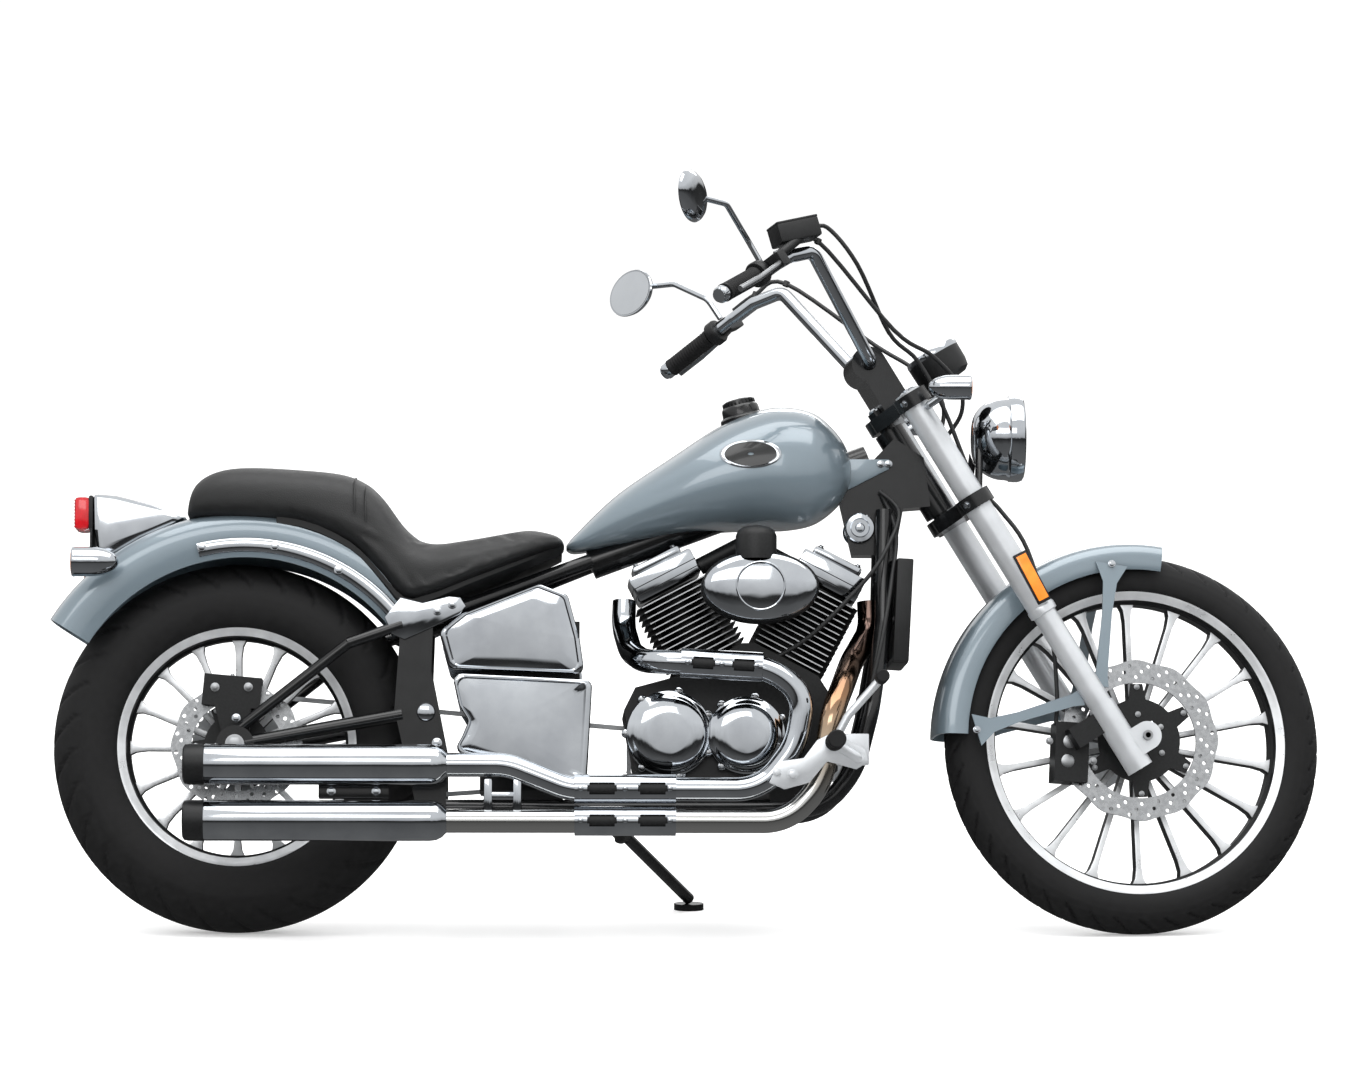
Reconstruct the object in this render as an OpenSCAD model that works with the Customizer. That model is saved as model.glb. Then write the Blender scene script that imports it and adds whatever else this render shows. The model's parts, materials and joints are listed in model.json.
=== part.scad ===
/* [Stance] */
// Distance between the wheel axles with the bars straight
wheelbase = 1632; // [1560:4:1700]
// Angle of the steering axis back from upright
rake = 31.5; // [30:0.5:33]
// How far the front axle lies ahead of the steering axis
axle_lead = 78; // [70:1:86]
// Lean onto the side stand
lean = 9; // [8:0.5:10]
// How far the bars rest turned to the left
rest_turn = 7.8; // [0:0.2:12]

/* [Wheels] */
// Radius of the front tyre
front_tyre_r = 348; // [335:1:355]
// Width of the front tyre
front_tyre_w = 96; // [90:1:110]
// Radius of the front rim at its lips
front_rim_r = 281; // [275:1:290]
// Spokes in the front wheel
front_spokes = 18; // [12:1:20]
// Radius of the rear tyre
rear_tyre_r = 335.5; // [325:0.5:342]
// Width of the rear tyre
rear_tyre_w = 150; // [130:1:156]
// Radius of the rear rim at its lips
rear_rim_r = 219.6; // [210:0.2:228]
// Spokes in the rear wheel
rear_spokes = 16; // [12:1:18]
// Radius of the front brake disc
front_disc_r = 148; // [135:1:155]
// Radius of the rear brake disc
rear_disc_r = 119; // [110:1:125]
// Radius of both wheel axles
axle_r = 9; // [8:0.5:11]

/* [Fork and bars] */
// Half the distance between the fork legs
fork_half = 110; // [106:1:120]
// How far the fork legs stand ahead of the steering axis
yoke_offset = 39; // [34:1:44]
// Radius of the upper fork tubes
fork_r = 25; // [22:0.5:27]
// Height of the lower yoke up the steering axis
lower_yoke_s = 512; // [500:1:530]
// Height of the upper yoke up the steering axis
upper_yoke_s = 728; // [715:1:740]
// Radius of the handlebar tube
bar_r = 12.5; // [11:0.5:13]
// Half the width across the bar ends
bar_half = 345; // [330:5:370]

/* [Body] */
// Half the greatest width of the fuel tank
tank_half = 155; // [135:1:165]
// Half the greatest width of the seat
seat_half = 150; // [135:1:160]
// Radius of the rear fender's crown
rear_fender_r = 420; // [410:1:430]
// Room between the rear tyre and each side of its fender
rear_fender_gap = 23; // [17:1:29]
// Radius of the mufflers
muffler_r = 36.5; // [33:0.5:40]
// Radius of the exhaust pipes
pipe_r = 22; // [19:0.5:24]
// Angle of each cylinder from upright
cylinder_tilt = 27.5; // [25:0.5:30]

/* [Hidden] */

sides = [-1, 1];
running_gap = 0.05;
fit_gap = 0.2;
chain_gap = 6;
frame_gap = 4;
front_rim_half = 40;
rear_rim_half = 58;
rim_seat = 10;
rim_wall = 8;
disc_t = 5;
disc_gap = 5;

// Where the leaning tyres touch the ground sets the height of each axle.
front_crown_r = front_tyre_w / 2;
rear_crown_r = rear_tyre_w / 2;
rear_axle_z = rear_tyre_r + rear_crown_r * (1 / cos(lean) - 1);
front_axis_tilt = cos(rest_turn) * sin(lean) + sin(rake) * sin(rest_turn) * cos(lean);
front_hub_world_z = (front_tyre_r - front_crown_r) * sqrt(1 - pow(front_axis_tilt, 2)) + front_crown_r;
foot_z = (front_hub_world_z + axle_lead * sin(rest_turn) * sin(lean)) / cos(lean)
    - axle_lead * sin(rake) * cos(rest_turn);
foot_x = wheelbase - axle_lead * cos(rake);
axis_up = [-sin(rake), 0, cos(rake)];
axis_forward = [cos(rake), 0, sin(rake)];
drawn_wheelbase = 1632;
stretch = wheelbase - drawn_wheelbase;
origin_x = (wheelbase + front_tyre_r - rear_tyre_r) / 2;
origin_y = 170;

function unit(v) = v / norm(v);
function on_axis(s) = [foot_x, 0, foot_z] + s * axis_up;
function ahead(u, y, s) = on_axis(s) + u * axis_forward + [0, y, 0];
function mirrored(path) = [for (p = path) [p[0], -p[1], p[2]]];

// The bike is drawn upright, then leans onto its stand.
module parked() {
    translate([-origin_x, -origin_y, 0])
        rotate([-lean, 0, 0])
            children();
}

// What a longer wheelbase adds lies between the side covers and the engine.
module forward() translate([stretch, 0, 0]) children();
function on(points) = [for (p = points) p + (len(p) == 3 ? [stretch, 0, 0] : [stretch, 0])];

// Steered pieces are drawn with z up the steering axis and x ahead of it.
module steered() {
    parked()
        translate([foot_x, 0, foot_z])
            rotate([0, -rake, 0])
                rotate([0, 0, rest_turn])
                    children();
}

// ---- shapes that several pieces share ----

// A straight round rod between two points
module rod(a, b, r) {
    d = b - a;
    translate(a)
        rotate([0, acos(d[2] / norm(d)), atan2(d[1], d[0])])
            cylinder(r = r, h = norm(d), $fn = 48);
}

// A disc or ring whose axis runs across the bike
module across(r, w, fn = 64) {
    rotate([90, 0, 0])
        cylinder(r = r, h = w, center = true, $fn = fn);
}

// A plate cut in the side view, from y = a to y = b
module side_plate(outline, a, b) {
    translate([0, b, 0])
        rotate([90, 0, 0])
            linear_extrude(height = b - a)
                polygon(outline);
}

// A corner of a route turned into an arc of tube
function corner(a, p, b, r, n) =
    let (u = unit(a - p), v = unit(b - p), half = acos(u * v) / 2)
    let (back = r / tan(half), centre = p + unit(u + v) * r / sin(half))
    let (from = p + u * back - centre, to = p + v * back - centre, turn = 180 - 2 * half)
    [for (i = [0 : n]) centre + (sin((1 - i / n) * turn) * from + sin(i / n * turn) * to) / sin(turn)];

function rounded(route, r, n = 5) = concat([route[0]],
    [for (i = [1 : len(route) - 2]) each corner(route[i - 1], route[i], route[i + 1], r, n)],
    [route[len(route) - 1]]);

function headings(path) = [for (i = [0 : len(path) - 1])
    unit(path[min(i + 1, len(path) - 1)] - path[max(i - 1, 0)])];

function carried(headings, n, i = 0, out = []) = i == len(headings) ? out
    : let (m = unit(n - (n * headings[i]) * headings[i])) carried(headings, m, i + 1, concat(out, [m]));

// A bent tube of one radius along a path
module tube(path, r, sides = 16) {
    along = headings(path);
    first = abs(along[0][1]) < 0.9 ? [0, 1, 0] : [1, 0, 0];
    side = carried(along, first);
    rings = len(path);
    points = [for (i = [0 : rings - 1], k = [0 : sides - 1])
        path[i] + r * (cos(360 * k / sides) * side[i] + sin(360 * k / sides) * cross(along[i], side[i]))];
    walls = [for (i = [0 : rings - 2], k = [0 : sides - 1])
        [i * sides + k, i * sides + (k + 1) % sides, (i + 1) * sides + (k + 1) % sides,
            (i + 1) * sides + k]];
    start = [[for (k = [sides - 1 : -1 : 0]) k]];
    end = [[for (k = [0 : sides - 1]) (rings - 1) * sides + k]];
    polyhedron(points, [for (f = concat(start, walls, end)) [for (k = [len(f) - 1 : -1 : 0]) f[k]]]);
}

// Points of a smooth curve through the rows of a station list
function smooth_row(a, b, c, d, t) = 0.5 * ((2 * b) + (c - a) * t + (2 * a - 5 * b + 4 * c - d) * t * t
    + (3 * b - a - 3 * c + d) * t * t * t);
function smooth(rows, n) = concat([for (i = [0 : len(rows) - 2], k = [0 : n - 1])
    smooth_row(rows[max(i - 1, 0)], rows[i], rows[i + 1], rows[min(i + 2, len(rows) - 1)], k / n)],
    [rows[len(rows) - 1]]);

// A solid lofted along x through stations [x, low, high, half width], with a rounded section
function bow(c, power) = sign(c) * pow(abs(c), 2 / power);
module lofted(stations, power = 2.4, sides = 24, steps = 3, belly = 0.45) {
    rows = smooth(stations, steps);
    rings = len(rows);
    points = [for (row = rows, k = [0 : sides - 1])
        let (c = bow(cos(360 * k / sides), power), s = bow(sin(360 * k / sides), power))
        let (level = row[1] + belly * (row[2] - row[1]))
        [row[0], row[3] * c, level + (s > 0 ? s * (row[2] - level) : s * (level - row[1]))]];
    walls = [for (i = [0 : rings - 2], k = [0 : sides - 1])
        [i * sides + k, i * sides + (k + 1) % sides, (i + 1) * sides + (k + 1) % sides,
            (i + 1) * sides + k]];
    start = [[for (k = [sides - 1 : -1 : 0]) k]];
    end = [[for (k = [0 : sides - 1]) (rings - 1) * sides + k]];
    polyhedron(points, [for (f = concat(start, walls, end)) [for (k = [len(f) - 1 : -1 : 0]) f[k]]]);
}

// ---- wheels ----

module tyre(outer_r, w, rim_r, rim_half) {
    crown = w / 2;
    rotate([90, 0, 0])
        rotate_extrude($fn = 96) {
            intersection() {
                translate([outer_r - crown, 0]) circle(r = crown, $fn = 48);
                translate([rim_r, -w]) square([outer_r, 2 * w]);
            }
            polygon([[rim_r, 5 - rim_half], [outer_r - crown, -crown], [outer_r - crown, crown], [rim_r,
                rim_half - 5]]);
            translate([rim_r - rim_seat, -rim_half + 5]) square([rim_seat + 1, 2 * rim_half - 10]);
        }
}

module spoke(from_r, to_r, root, middle, tip, depth) {
    rotate([90, 0, 0])
        linear_extrude(height = depth, center = true)
            polygon([[from_r, -root / 2], [to_r - 30, -middle / 2], [to_r, -tip / 2],
                [to_r, tip / 2], [to_r - 30, middle / 2], [from_r, root / 2]]);
}

module rim(rim_r, rim_half, hub_r, hub_half, spokes) {
    seat_r = rim_r - rim_seat;
    rotate([90, 0, 0])
        rotate_extrude($fn = 96) {
            translate([seat_r - rim_wall, -rim_half]) square([rim_wall, 2 * rim_half]);
            for (side = [-rim_half, rim_half - 5])
                translate([seat_r - 1, side]) square([rim_seat + 1, 5]);
            translate([axle_r + running_gap, -hub_half]) square([hub_r - axle_r - running_gap,
                2 * hub_half]);
        }
    for (k = [0 : spokes - 1])
        rotate([0, 360 * k / spokes, 0])
            spoke(hub_r - 2, seat_r - rim_wall + 2, 0.7 * 360 / spokes * PI / 180 * hub_r, 13, 26, 30);
}

module brake_disc(outer_r, ring_r, hub_r, y) {
    translate([0, y, 0])
        rotate([90, 0, 0]) {
            difference() {
                cylinder(r = outer_r, h = disc_t, center = true, $fn = 96);
                cylinder(r = ring_r, h = disc_t + 2, center = true, $fn = 96);
            }
            difference() {
                cylinder(r = ring_r * 0.72, h = disc_t, center = true, $fn = 64);
                cylinder(r = hub_r, h = disc_t + 2, center = true, $fn = 64);
            }
            for (k = [0 : 4])
                rotate([0, 0, 72 * k])
                    translate([(ring_r * 0.7 + ring_r + 6) / 2, 0, 0])
                        cube([ring_r * 0.3 + 12, 22, disc_t], center = true);
        }
}

rear_fender_half = rear_tyre_w / 2 + rear_fender_gap;
arm_gap = 14;
arm_y = rear_fender_half + arm_gap;
arm_half = 12;
sprocket_gap = 11;
sprocket_t = 6;
rear_hub_half = 62;
rear_hub_r = 46;
rear_disc_y = -rear_hub_half - disc_t / 2 - 0.01;
rear_sprocket_y = rear_tyre_w / 2 + sprocket_gap;
front_hub_half = 58;
front_hub_r = 40;
front_disc_y = -front_hub_half - disc_t / 2 - 0.01;

module at_rear_hub() parked() translate([0, 0, rear_axle_z]) children();
module at_front_hub() steered() translate([axle_lead, 0, 0]) children();

module rear_tyre() color("#1d1d1f") at_rear_hub() tyre(rear_tyre_r, rear_tyre_w, rear_rim_r, rear_rim_half);
module rear_rim() color("#c9cbcd") at_rear_hub() rim(rear_rim_r, rear_rim_half, rear_hub_r, rear_hub_half,
    rear_spokes);
module rear_disc() color("#b9bbbd") at_rear_hub() brake_disc(rear_disc_r, 82, axle_r + 3, rear_disc_y);
module rear_sprocket() {
    color("#77797b")
        at_rear_hub() {
            translate([0, rear_sprocket_y, 0])
                rotate([90, 0, 0])
                    difference() {
                        cylinder(r = 96, h = sprocket_t, center = true, $fn = 84);
                        cylinder(r = axle_r + 3, h = 8, center = true, $fn = 48);
                        for (k = [0 : 5])
                            rotate([0, 0, 60 * k])
                                translate([66, 0, 0])
                                    cylinder(r = 13, h = 8, center = true, $fn = 32);
                    }
            translate([0, (rear_hub_half + rear_sprocket_y - 3) / 2, 0])
                rotate([90, 0, 0])
                    difference() {
                        cylinder(r = 46, h = rear_sprocket_y - 3 - rear_hub_half, center = true, $fn = 48);
                        cylinder(r = axle_r + 3, h = 40, center = true, $fn = 48);
                    }
        }
}
module front_tyre() color("#1d1d1f") at_front_hub() tyre(front_tyre_r, front_tyre_w, front_rim_r,
    front_rim_half);
module front_rim() color("#c9cbcd") at_front_hub() rim(front_rim_r, front_rim_half, front_hub_r,
    front_hub_half, front_spokes);
module front_disc() color("#b9bbbd") at_front_hub() brake_disc(front_disc_r, 106, axle_r + 3, front_disc_y);

// ---- steering ----

lamp_at = [177, 0, 602];
lamp_r = 80;
stem_r = 15;
yoke_h = 26;
yoke_wrap = 9;
yoke_front = 26;
collar_s = 300;
lug_s = 92;
slider_r = fork_r - 3;
lug_inset = 4;
lug_half = fork_r - lug_inset;
axle_end = fork_half + lug_half;

module yoke(s) {
    difference() {
        union() {
            translate([0, 0, s]) cylinder(r = stem_r + 16, h = yoke_h, $fn = 64);
            for (side = sides)
                translate([yoke_offset, side * fork_half, s]) cylinder(r = fork_r + yoke_wrap, h = yoke_h,
                    $fn = 64);
            translate([0, 0, s])
                linear_extrude(height = yoke_h)
                    polygon([[-stem_r - 12, -24], [yoke_offset - 20, -fork_half],
                        [yoke_offset + yoke_front, -fork_half],
                        [yoke_offset + yoke_front, fork_half], [yoke_offset - 20, fork_half],
                            [-stem_r - 12, 24]]);
        }
        translate([0, 0, s - 1]) cylinder(r = stem_r, h = yoke_h + 2, $fn = 64);
        for (side = sides)
            translate([yoke_offset, side * fork_half, s - 1]) cylinder(r = fork_r, h = yoke_h + 2,
                $fn = 64);
    }
}

module lower_yoke() {
    color("#202123")
        steered() {
            yoke(lower_yoke_s);
            translate([0, 0, lower_yoke_s]) cylinder(r = stem_r, h = upper_yoke_s + yoke_h - lower_yoke_s,
                $fn = 64);
            difference() {
                for (side = sides)
                    rod([yoke_offset + 20, side * 60, lower_yoke_s + yoke_h / 2], [lamp_at[0] - 56,
                        side * 30, lamp_at[2] + 6], 7);
                lamp_shell();
            }
        }
}

clamp_u = 24;
clamp_s = 845;
clamp_half = 46;

// The upper yoke carries the riser block that clamps the handlebar.
module upper_yoke() {
    color("#202123")
        steered() {
            yoke(upper_yoke_s);
            translate([0, 0, upper_yoke_s + yoke_h]) cylinder(r = 19, h = 12, $fn = 6);
            difference() {
                union() {
                    translate([clamp_u - 22, -clamp_half, upper_yoke_s + yoke_h - 1])
                        cube([54, 2 * clamp_half, clamp_s - upper_yoke_s - yoke_h]);
                    translate([clamp_u, 0, clamp_s]) across(32, 2 * clamp_half);
                }
                translate([clamp_u, 0, clamp_s]) across(bar_r + 0.4, 2 * clamp_half + 20);
                translate([0, 0, upper_yoke_s + yoke_h - 2]) cylinder(r = 22, h = 16, $fn = 48);
            }
        }
}

module fork_tubes() {
    color("#c3c6c9")
        steered()
            for (side = sides)
                translate([yoke_offset, side * fork_half, collar_s])
                    cylinder(r = fork_r, h = upper_yoke_s + yoke_h + 4 - collar_s, $fn = 64);
}

module fork_sliders() {
    color("#a9adb1")
        steered()
            for (side = sides)
                difference() {
                    union() {
                        translate([yoke_offset, side * fork_half, lug_s]) cylinder(r = slider_r,
                            h = collar_s - lug_s, $fn = 64);
                        translate([yoke_offset, side * fork_half, -45]) cylinder(r = fork_r,
                            h = lug_s + 45, $fn = 64);
                        translate([axle_lead, side * fork_half, 0]) across(26, 2 * lug_half);
                        translate([(yoke_offset + axle_lead) / 2, side * fork_half, 0])
                            cube([axle_lead - yoke_offset, 2 * lug_half, 52], center = true);
                    }
                    translate([axle_lead, side * fork_half, 0]) across(axle_r, 80);
                }
}

axle_bore_r = 5;
module hollow_axle(half) {
    difference() {
        across(axle_r, 2 * half);
        across(axle_bore_r, 2 * half + 2);
    }
}

module front_axle() {
    color("#9a9c9e")
        at_front_hub() {
            hollow_axle(axle_end + 6);
            for (side = sides)
                translate([0, side * (front_hub_half + fork_half - lug_half) / 2, 0])
                    difference() {
                        across(axle_r + 2.5, fork_half - lug_half - front_hub_half - 1);
                        across(axle_r, 80);
                    }
        }
}

front_fender_r = front_tyre_r + 22;
front_fender_gap = 14;
front_fender_half = front_tyre_w / 2 + front_fender_gap;
fender_t = 4;
stay_s = 120;

// A fender's shell: a rounded crown with straight skirts, swept round the wheel
module fender_section(crown_r, half, skirt) {
    shoulder = min(half, 34);
    difference() {
        union() {
            translate([crown_r - shoulder, -half]) square([shoulder - 14, 2 * half]);
            translate([crown_r - skirt, -half]) square([skirt - shoulder + 0.1, 2 * half]);
            translate([crown_r - 14.1, -half + 14]) square([14.1, 2 * half - 28]);
            for (side = sides) translate([crown_r - 14, side * (half - 14)]) circle(r = 14, $fn = 32);
        }
        translate([crown_r - skirt - 1, -half + fender_t]) square([skirt + 1 - 14,
            2 * half - 2 * fender_t]);
        translate([crown_r - 30, -half + 14]) square([30 - fender_t, 2 * half - 28]);
        for (side = sides) translate([crown_r - 14, side * (half - 14)]) circle(r = 14 - fender_t,
            $fn = 32);
    }
}

module swept_fender(crown_r, half, skirt, from, to) {
    rotate([90, 0, 0])
        rotate_extrude(start = from, angle = to - from, $fn = 96)
            fender_section(crown_r, half, skirt);
}

module front_fender() {
    color("#7a8991")
        at_front_hub() {
            swept_fender(front_fender_r, front_fender_half, 52, 50, 147);
            difference() {
                for (side = sides)
                    for (end = [[130, 300], [-250, 170]])
                        rod([yoke_offset - axle_lead, side * (fork_half - 8), stay_s], [end[0],
                            side * (front_fender_half + 4), end[1]], 6);
                for (side = sides)
                    translate([yoke_offset - axle_lead, side * fork_half, 0])
                        cylinder(r = slider_r + running_gap, h = collar_s, $fn = 64);
            }
        }
}

module front_caliper() {
    color("#1f2021")
        steered()
            translate([-46, 0, 46])
                difference() {
                    union() {
                        translate([0, front_disc_y, 0]) rotate([0, 35, 0]) cube([62, 50, 108],
                            center = true);
                        translate([38, (front_disc_y - fork_half - 4) / 2, 18]) cube([60,
                            fork_half + front_disc_y + 14, 40], center = true);
                    }
                    translate([46 + axle_lead, front_disc_y, -46]) across(front_disc_r + disc_gap,
                        disc_t + 2 * disc_gap, 96);
                    translate([46 + yoke_offset, -fork_half, 0]) cylinder(r = fork_r, h = 400,
                        center = true, $fn = 64);
                    translate([46, 0, -46]) rod([-10, -74, 150], [-43, -71.8, 101.6], hose_r + 0.8);
                }
}

module facing_ahead() rotate([0, 90 + rake, 0]) children();

module lamp_shell() {
    translate(lamp_at)
        facing_ahead()
            rotate_extrude($fn = 96)
                polygon(concat([[0, -62], [22, -60]],
                    [for (a = [15 : 15 : 75]) [22 + (lamp_r - 26) * sin(a), -60 + 62 * (1 - cos(a))]],
                    [[lamp_r - 4, 8], [lamp_r, 10], [lamp_r, 30], [lamp_r - 6, 38], [50, 46], [0, 50]]));
}

module headlight() {
    color("#d4d6d8") steered() lamp_shell();
}

module speedometer() {
    color("#1c1d1f")
        steered() {
            translate([146, 0, 748]) cylinder(r = 52, h = 62, $fn = 64);
            translate([yoke_offset + yoke_front, -14, upper_yoke_s + 6]) cube([72, 28, 14]);
        }
}

module bullet(r, l) {
    rotate([0, 90, 0])
        rotate_extrude($fn = 48)
            polygon(concat([[0, 0]], [for (a = [15 : 15 : 90]) [r * sin(a), r * (1 - cos(a))]], [[r,
                l - 6], [r - 3, l], [0, l]]));
}

signal_y = 172;
module front_signals() {
    color("#cfd1d3")
        steered()
            for (side = sides)
                difference() {
                    union() {
                        translate([96, side * signal_y, 722]) rotate([0, rake, 0]) translate([-40, 0,
                            0]) bullet(23, 81);
                        rod([yoke_offset + 14, side * (fork_half + 28), 716], [96, side * (signal_y - 8),
                            716], 7);
                        rod([yoke_offset + 14, side * (fork_half + 34), 716], [yoke_offset + 14,
                            side * fork_half, 716], 7.5);
                    }
                    translate([yoke_offset, side * fork_half, 650]) cylinder(r = fork_r + running_gap,
                        h = 150, $fn = 64);
                }
}

grip_in = [-82, bar_half - 120, 1070];
grip_out = [-224, bar_half, 1059];
bar_bend = [11, bar_half - 173, 1062];
bar_turn = [-40, bar_half - 147, 1073];
bar_route = [[clamp_u, 0, clamp_s], [clamp_u, 62, clamp_s], bar_bend, bar_turn, grip_in, grip_out];
bar_line = rounded(bar_route, 24, 5);

module handlebar() {
    color("#cfd1d3")
        steered()
            tube(concat([for (k = [len(bar_line) - 1 : -1 : 1]) mirrored(bar_line)[k]], bar_line), bar_r,
                16);
}

grip_way = unit(grip_out - grip_in);
grip_r = 17;
grip_l = 122;
function on_grip(d) = grip_in + d * grip_way;
function flip(p, side) = [p[0], side * p[1], p[2]];

module sleeve(from, to, r, side) {
    difference() {
        rod(flip(on_grip(from), side), flip(on_grip(to), side), r);
        rod(flip(on_grip(from - 5), side), flip(on_grip(to + 5), side), bar_r + 0.3);
    }
}

bar_l = norm(grip_out - grip_in);
module grips() {
    color("#17181a")
        steered()
            for (side = sides)
                sleeve(bar_l - grip_l - 2, bar_l - 2, grip_r, side);
}

perch_d = 24;
perch_h = 30;
grip_front = unit([grip_way[1], -grip_way[0], 0]);
function lever_point(d, out, drop) = on_grip(d) + out * grip_front - [0, 0, drop];
lever_line = rounded([lever_point(perch_d, 40, 4), lever_point(60, 52, 8), lever_point(120, 48, 12),
    lever_point(bar_l - 6, 44, 12)], 60, 3);

// A perch clamped on the bar carries the lever; the switch housing sits between it and the grip.
module controls(side) {
    sleeve(perch_d + perch_h / 2 - 3, bar_l - grip_l - 6, 24, side);
    tube([for (p = lever_line) flip(p, side)], 6, 10);
    difference() {
        translate(flip(on_grip(perch_d), side))
            rotate([0, 0, side * atan2(-grip_way[0], grip_way[1])])
                translate([22, 0, 0]) cube([60, 26, perch_h], center = true);
        rod(flip(on_grip(-20), side), flip(on_grip(80), side), bar_r + fit_gap);
    }
}

module right_controls() {
    color("#1b1c1e")
        steered() {
            controls(-1);
            difference() {
                translate([-8, -bar_half + 139, 1104]) rotate([0, rake, 12]) cube([84, 56, 44],
                    center = true);
                rod(flip(bar_bend, -1), flip(bar_turn, -1), bar_r + fit_gap);
                rod(flip(bar_turn, -1), flip(grip_in, -1), bar_r + fit_gap);
            }
        }
}

module left_controls() {
    color("#1b1c1e") steered() controls(1);
}

mirror_at = [-185, bar_half + 55, 1231];
mirror_foot = on_grip(perch_d) + [0, 0, perch_h / 2 + 1];
module mirrors() {
    color("#d0d2d4")
        steered()
            for (side = sides) {
                tube([for (p = rounded([mirror_foot, mirror_foot + [0, 6, 44], [-120, bar_half - 15,
                    1196], mirror_at + [20, -30, -6]], 26, 4)) flip(p, side)], 5.5, 10);
                translate(flip(mirror_at, side))
                    rotate([0, -rake, 0])
                        rotate([0, rake + 6, side * 12])
                            hull() {
                                for (y = [-26, 26]) translate([0, y, 0]) rotate([0, 90, 0])
                                    cylinder(r = 46, h = 3, center = true, $fn = 32);
                                for (y = [-16, 16]) translate([16, y, 0]) rotate([0, 90, 0])
                                    cylinder(r = 30, h = 3, center = true, $fn = 32);
                            }
            }
}

hose_r = 4;
hose_route = [[56, -180, 1085], [70, -170, 1000], [72, -100, 870], [96, -78, 800], [92, -72, 700], [70,
    -66, 560],
    [82, -70, 490], [84, -78, 400], [40, -76, 250], [-10, -74, 150], [-40, -72, 106]];
module brake_hose() {
    color("#141517") steered() tube(smooth(hose_route, 3), hose_r, 8);
}

// ---- frame ----

tube_r = 16;
head_low = lower_yoke_s + yoke_h + 5;
head_high = upper_yoke_s - 5;
rail_z = 222;
rail_y = 115;
rail_end = 380;

backbone_front = [1150 + stretch, 0, 866];
backbone_rear = [640 + stretch, 0, 676];
backbone_r = 30;
gusset_half = 30;
ear_t = 6;
module backbone(extra) rod(backbone_front, backbone_rear, backbone_r + extra);

module frame_spine() {
    color("#1a1b1d")
        parked() {
            difference() {
                union() {
                    rod(on_axis(head_low), on_axis(head_high), 28);
                    side_plate(on([[1095, 800], [1196, 905], [1250, 870], [1262, 780], [1212, 776], [1196,
                        690], [1120, 690]]),
                        -gusset_half, gusset_half);
                    backbone(0);
                }
                rod(on_axis(head_low - 40), on_axis(head_high + 40), stem_r + running_gap);
                rod(on_axis(head_low - 60), on_axis(head_low), 60);
                rod(on_axis(head_high), on_axis(head_high + 90), 60);
                for (side = sides) downtube(side, 0.02);
            }
        }
}

function downtube_route(side) = concat(on([[1176, side * 46, 770], [1172, side * 78, 560], [1146,
    rail_y * side, 400],
    [1118, side * rail_y, 290], [1060, side * rail_y, rail_z]]), [[rail_end, side * rail_y, rail_z]]);
module downtube(side, extra) tube(rounded(downtube_route(side), 50, 4), tube_r + extra, 12);

stand_pivot = [700 + stretch, 152, 192];
stand_reach = [130, 196];
stand_stowed = [-0.985, 0.12, 0.12];
stand_pin_r = 6;
stand_foot = [stand_pivot[0] + stand_reach[0], stand_pivot[1] + stand_reach[1],
    (stand_pivot[1] + stand_reach[1]) * tan(lean)];
stand_axis = unit(cross(stand_foot - stand_pivot, stand_stowed));

// Two bent tubes run from the head under the engine; the left one carries the side stand's pin.
module frame_cradle() {
    color("#1a1b1d")
        parked() {
            for (side = sides) {
                downtube(side, 0);
            }
            rod([stand_pivot[0] - 6, rail_y, rail_z], stand_pivot + 32 * stand_axis, 12);
            rod(stand_pivot - 14 * stand_axis, stand_pivot + 32 * stand_axis, stand_pin_r);
            rod(stand_pivot - 20 * stand_axis, stand_pivot - 14 * stand_axis, stand_pin_r + 4);
        }
}

pivot_at = [343, 0, 395];
function rail_top(side) = [640 + stretch, side * 44, 676];
plate_half = 8;
module pivot_plate(side) {
    side_plate([[380, rail_z - tube_r], [380, 330], [352, 470], [356, 590], [322, 596], [296, 545], [286,
        400],
        [330, rail_z - tube_r]], side * arm_y - plate_half, side * arm_y + plate_half);
}
module seat_rail(side, extra) rod([340, side * 100, 560], rail_top(side), 14 + extra);

module frame_rear() {
    color("#1a1b1d")
        parked()
            for (side = sides)
                difference() {
                    union() {
                        pivot_plate(side);
                        seat_rail(side, 0);
                    }
                    translate([pivot_at[0], side * arm_y, pivot_at[2]]) across(14, 40);
                    rod([1000, side * rail_y, rail_z], [rail_end, side * rail_y, rail_z], tube_r);
                    backbone(0);
                }
}

radiator_at = [1206 + stretch, 0, 583];
module radiator() {
    color("#26282a")
        parked() {
            translate(radiator_at)
                rotate([0, 3, 0])
                    cube([30, 220, 190], center = true);
            for (side = sides)
                difference() {
                    rod([radiator_at[0] - 6, side * 80, 566], [1172 + stretch, side * 78, 566], 8);
                    downtube(side, running_gap);
                }
        }
}

// ---- engine ----

crank = [925 + stretch, 0, 360];
case_half = 125;
function leaned(t, u, tilt) = crank + t * [sin(tilt), 0, cos(tilt)] + u * [cos(tilt), 0, -sin(tilt)];

chain_front = [720 + stretch, 330];
chain_half = 7;
chain_rise = 52;

deck_t = 148;
deck_half = 64;
deck_gap = 0.02;
function deck(u, side) = let (p = leaned(deck_t - deck_gap, side * u, side * cylinder_tilt)) [p[0], p[2]];

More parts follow.
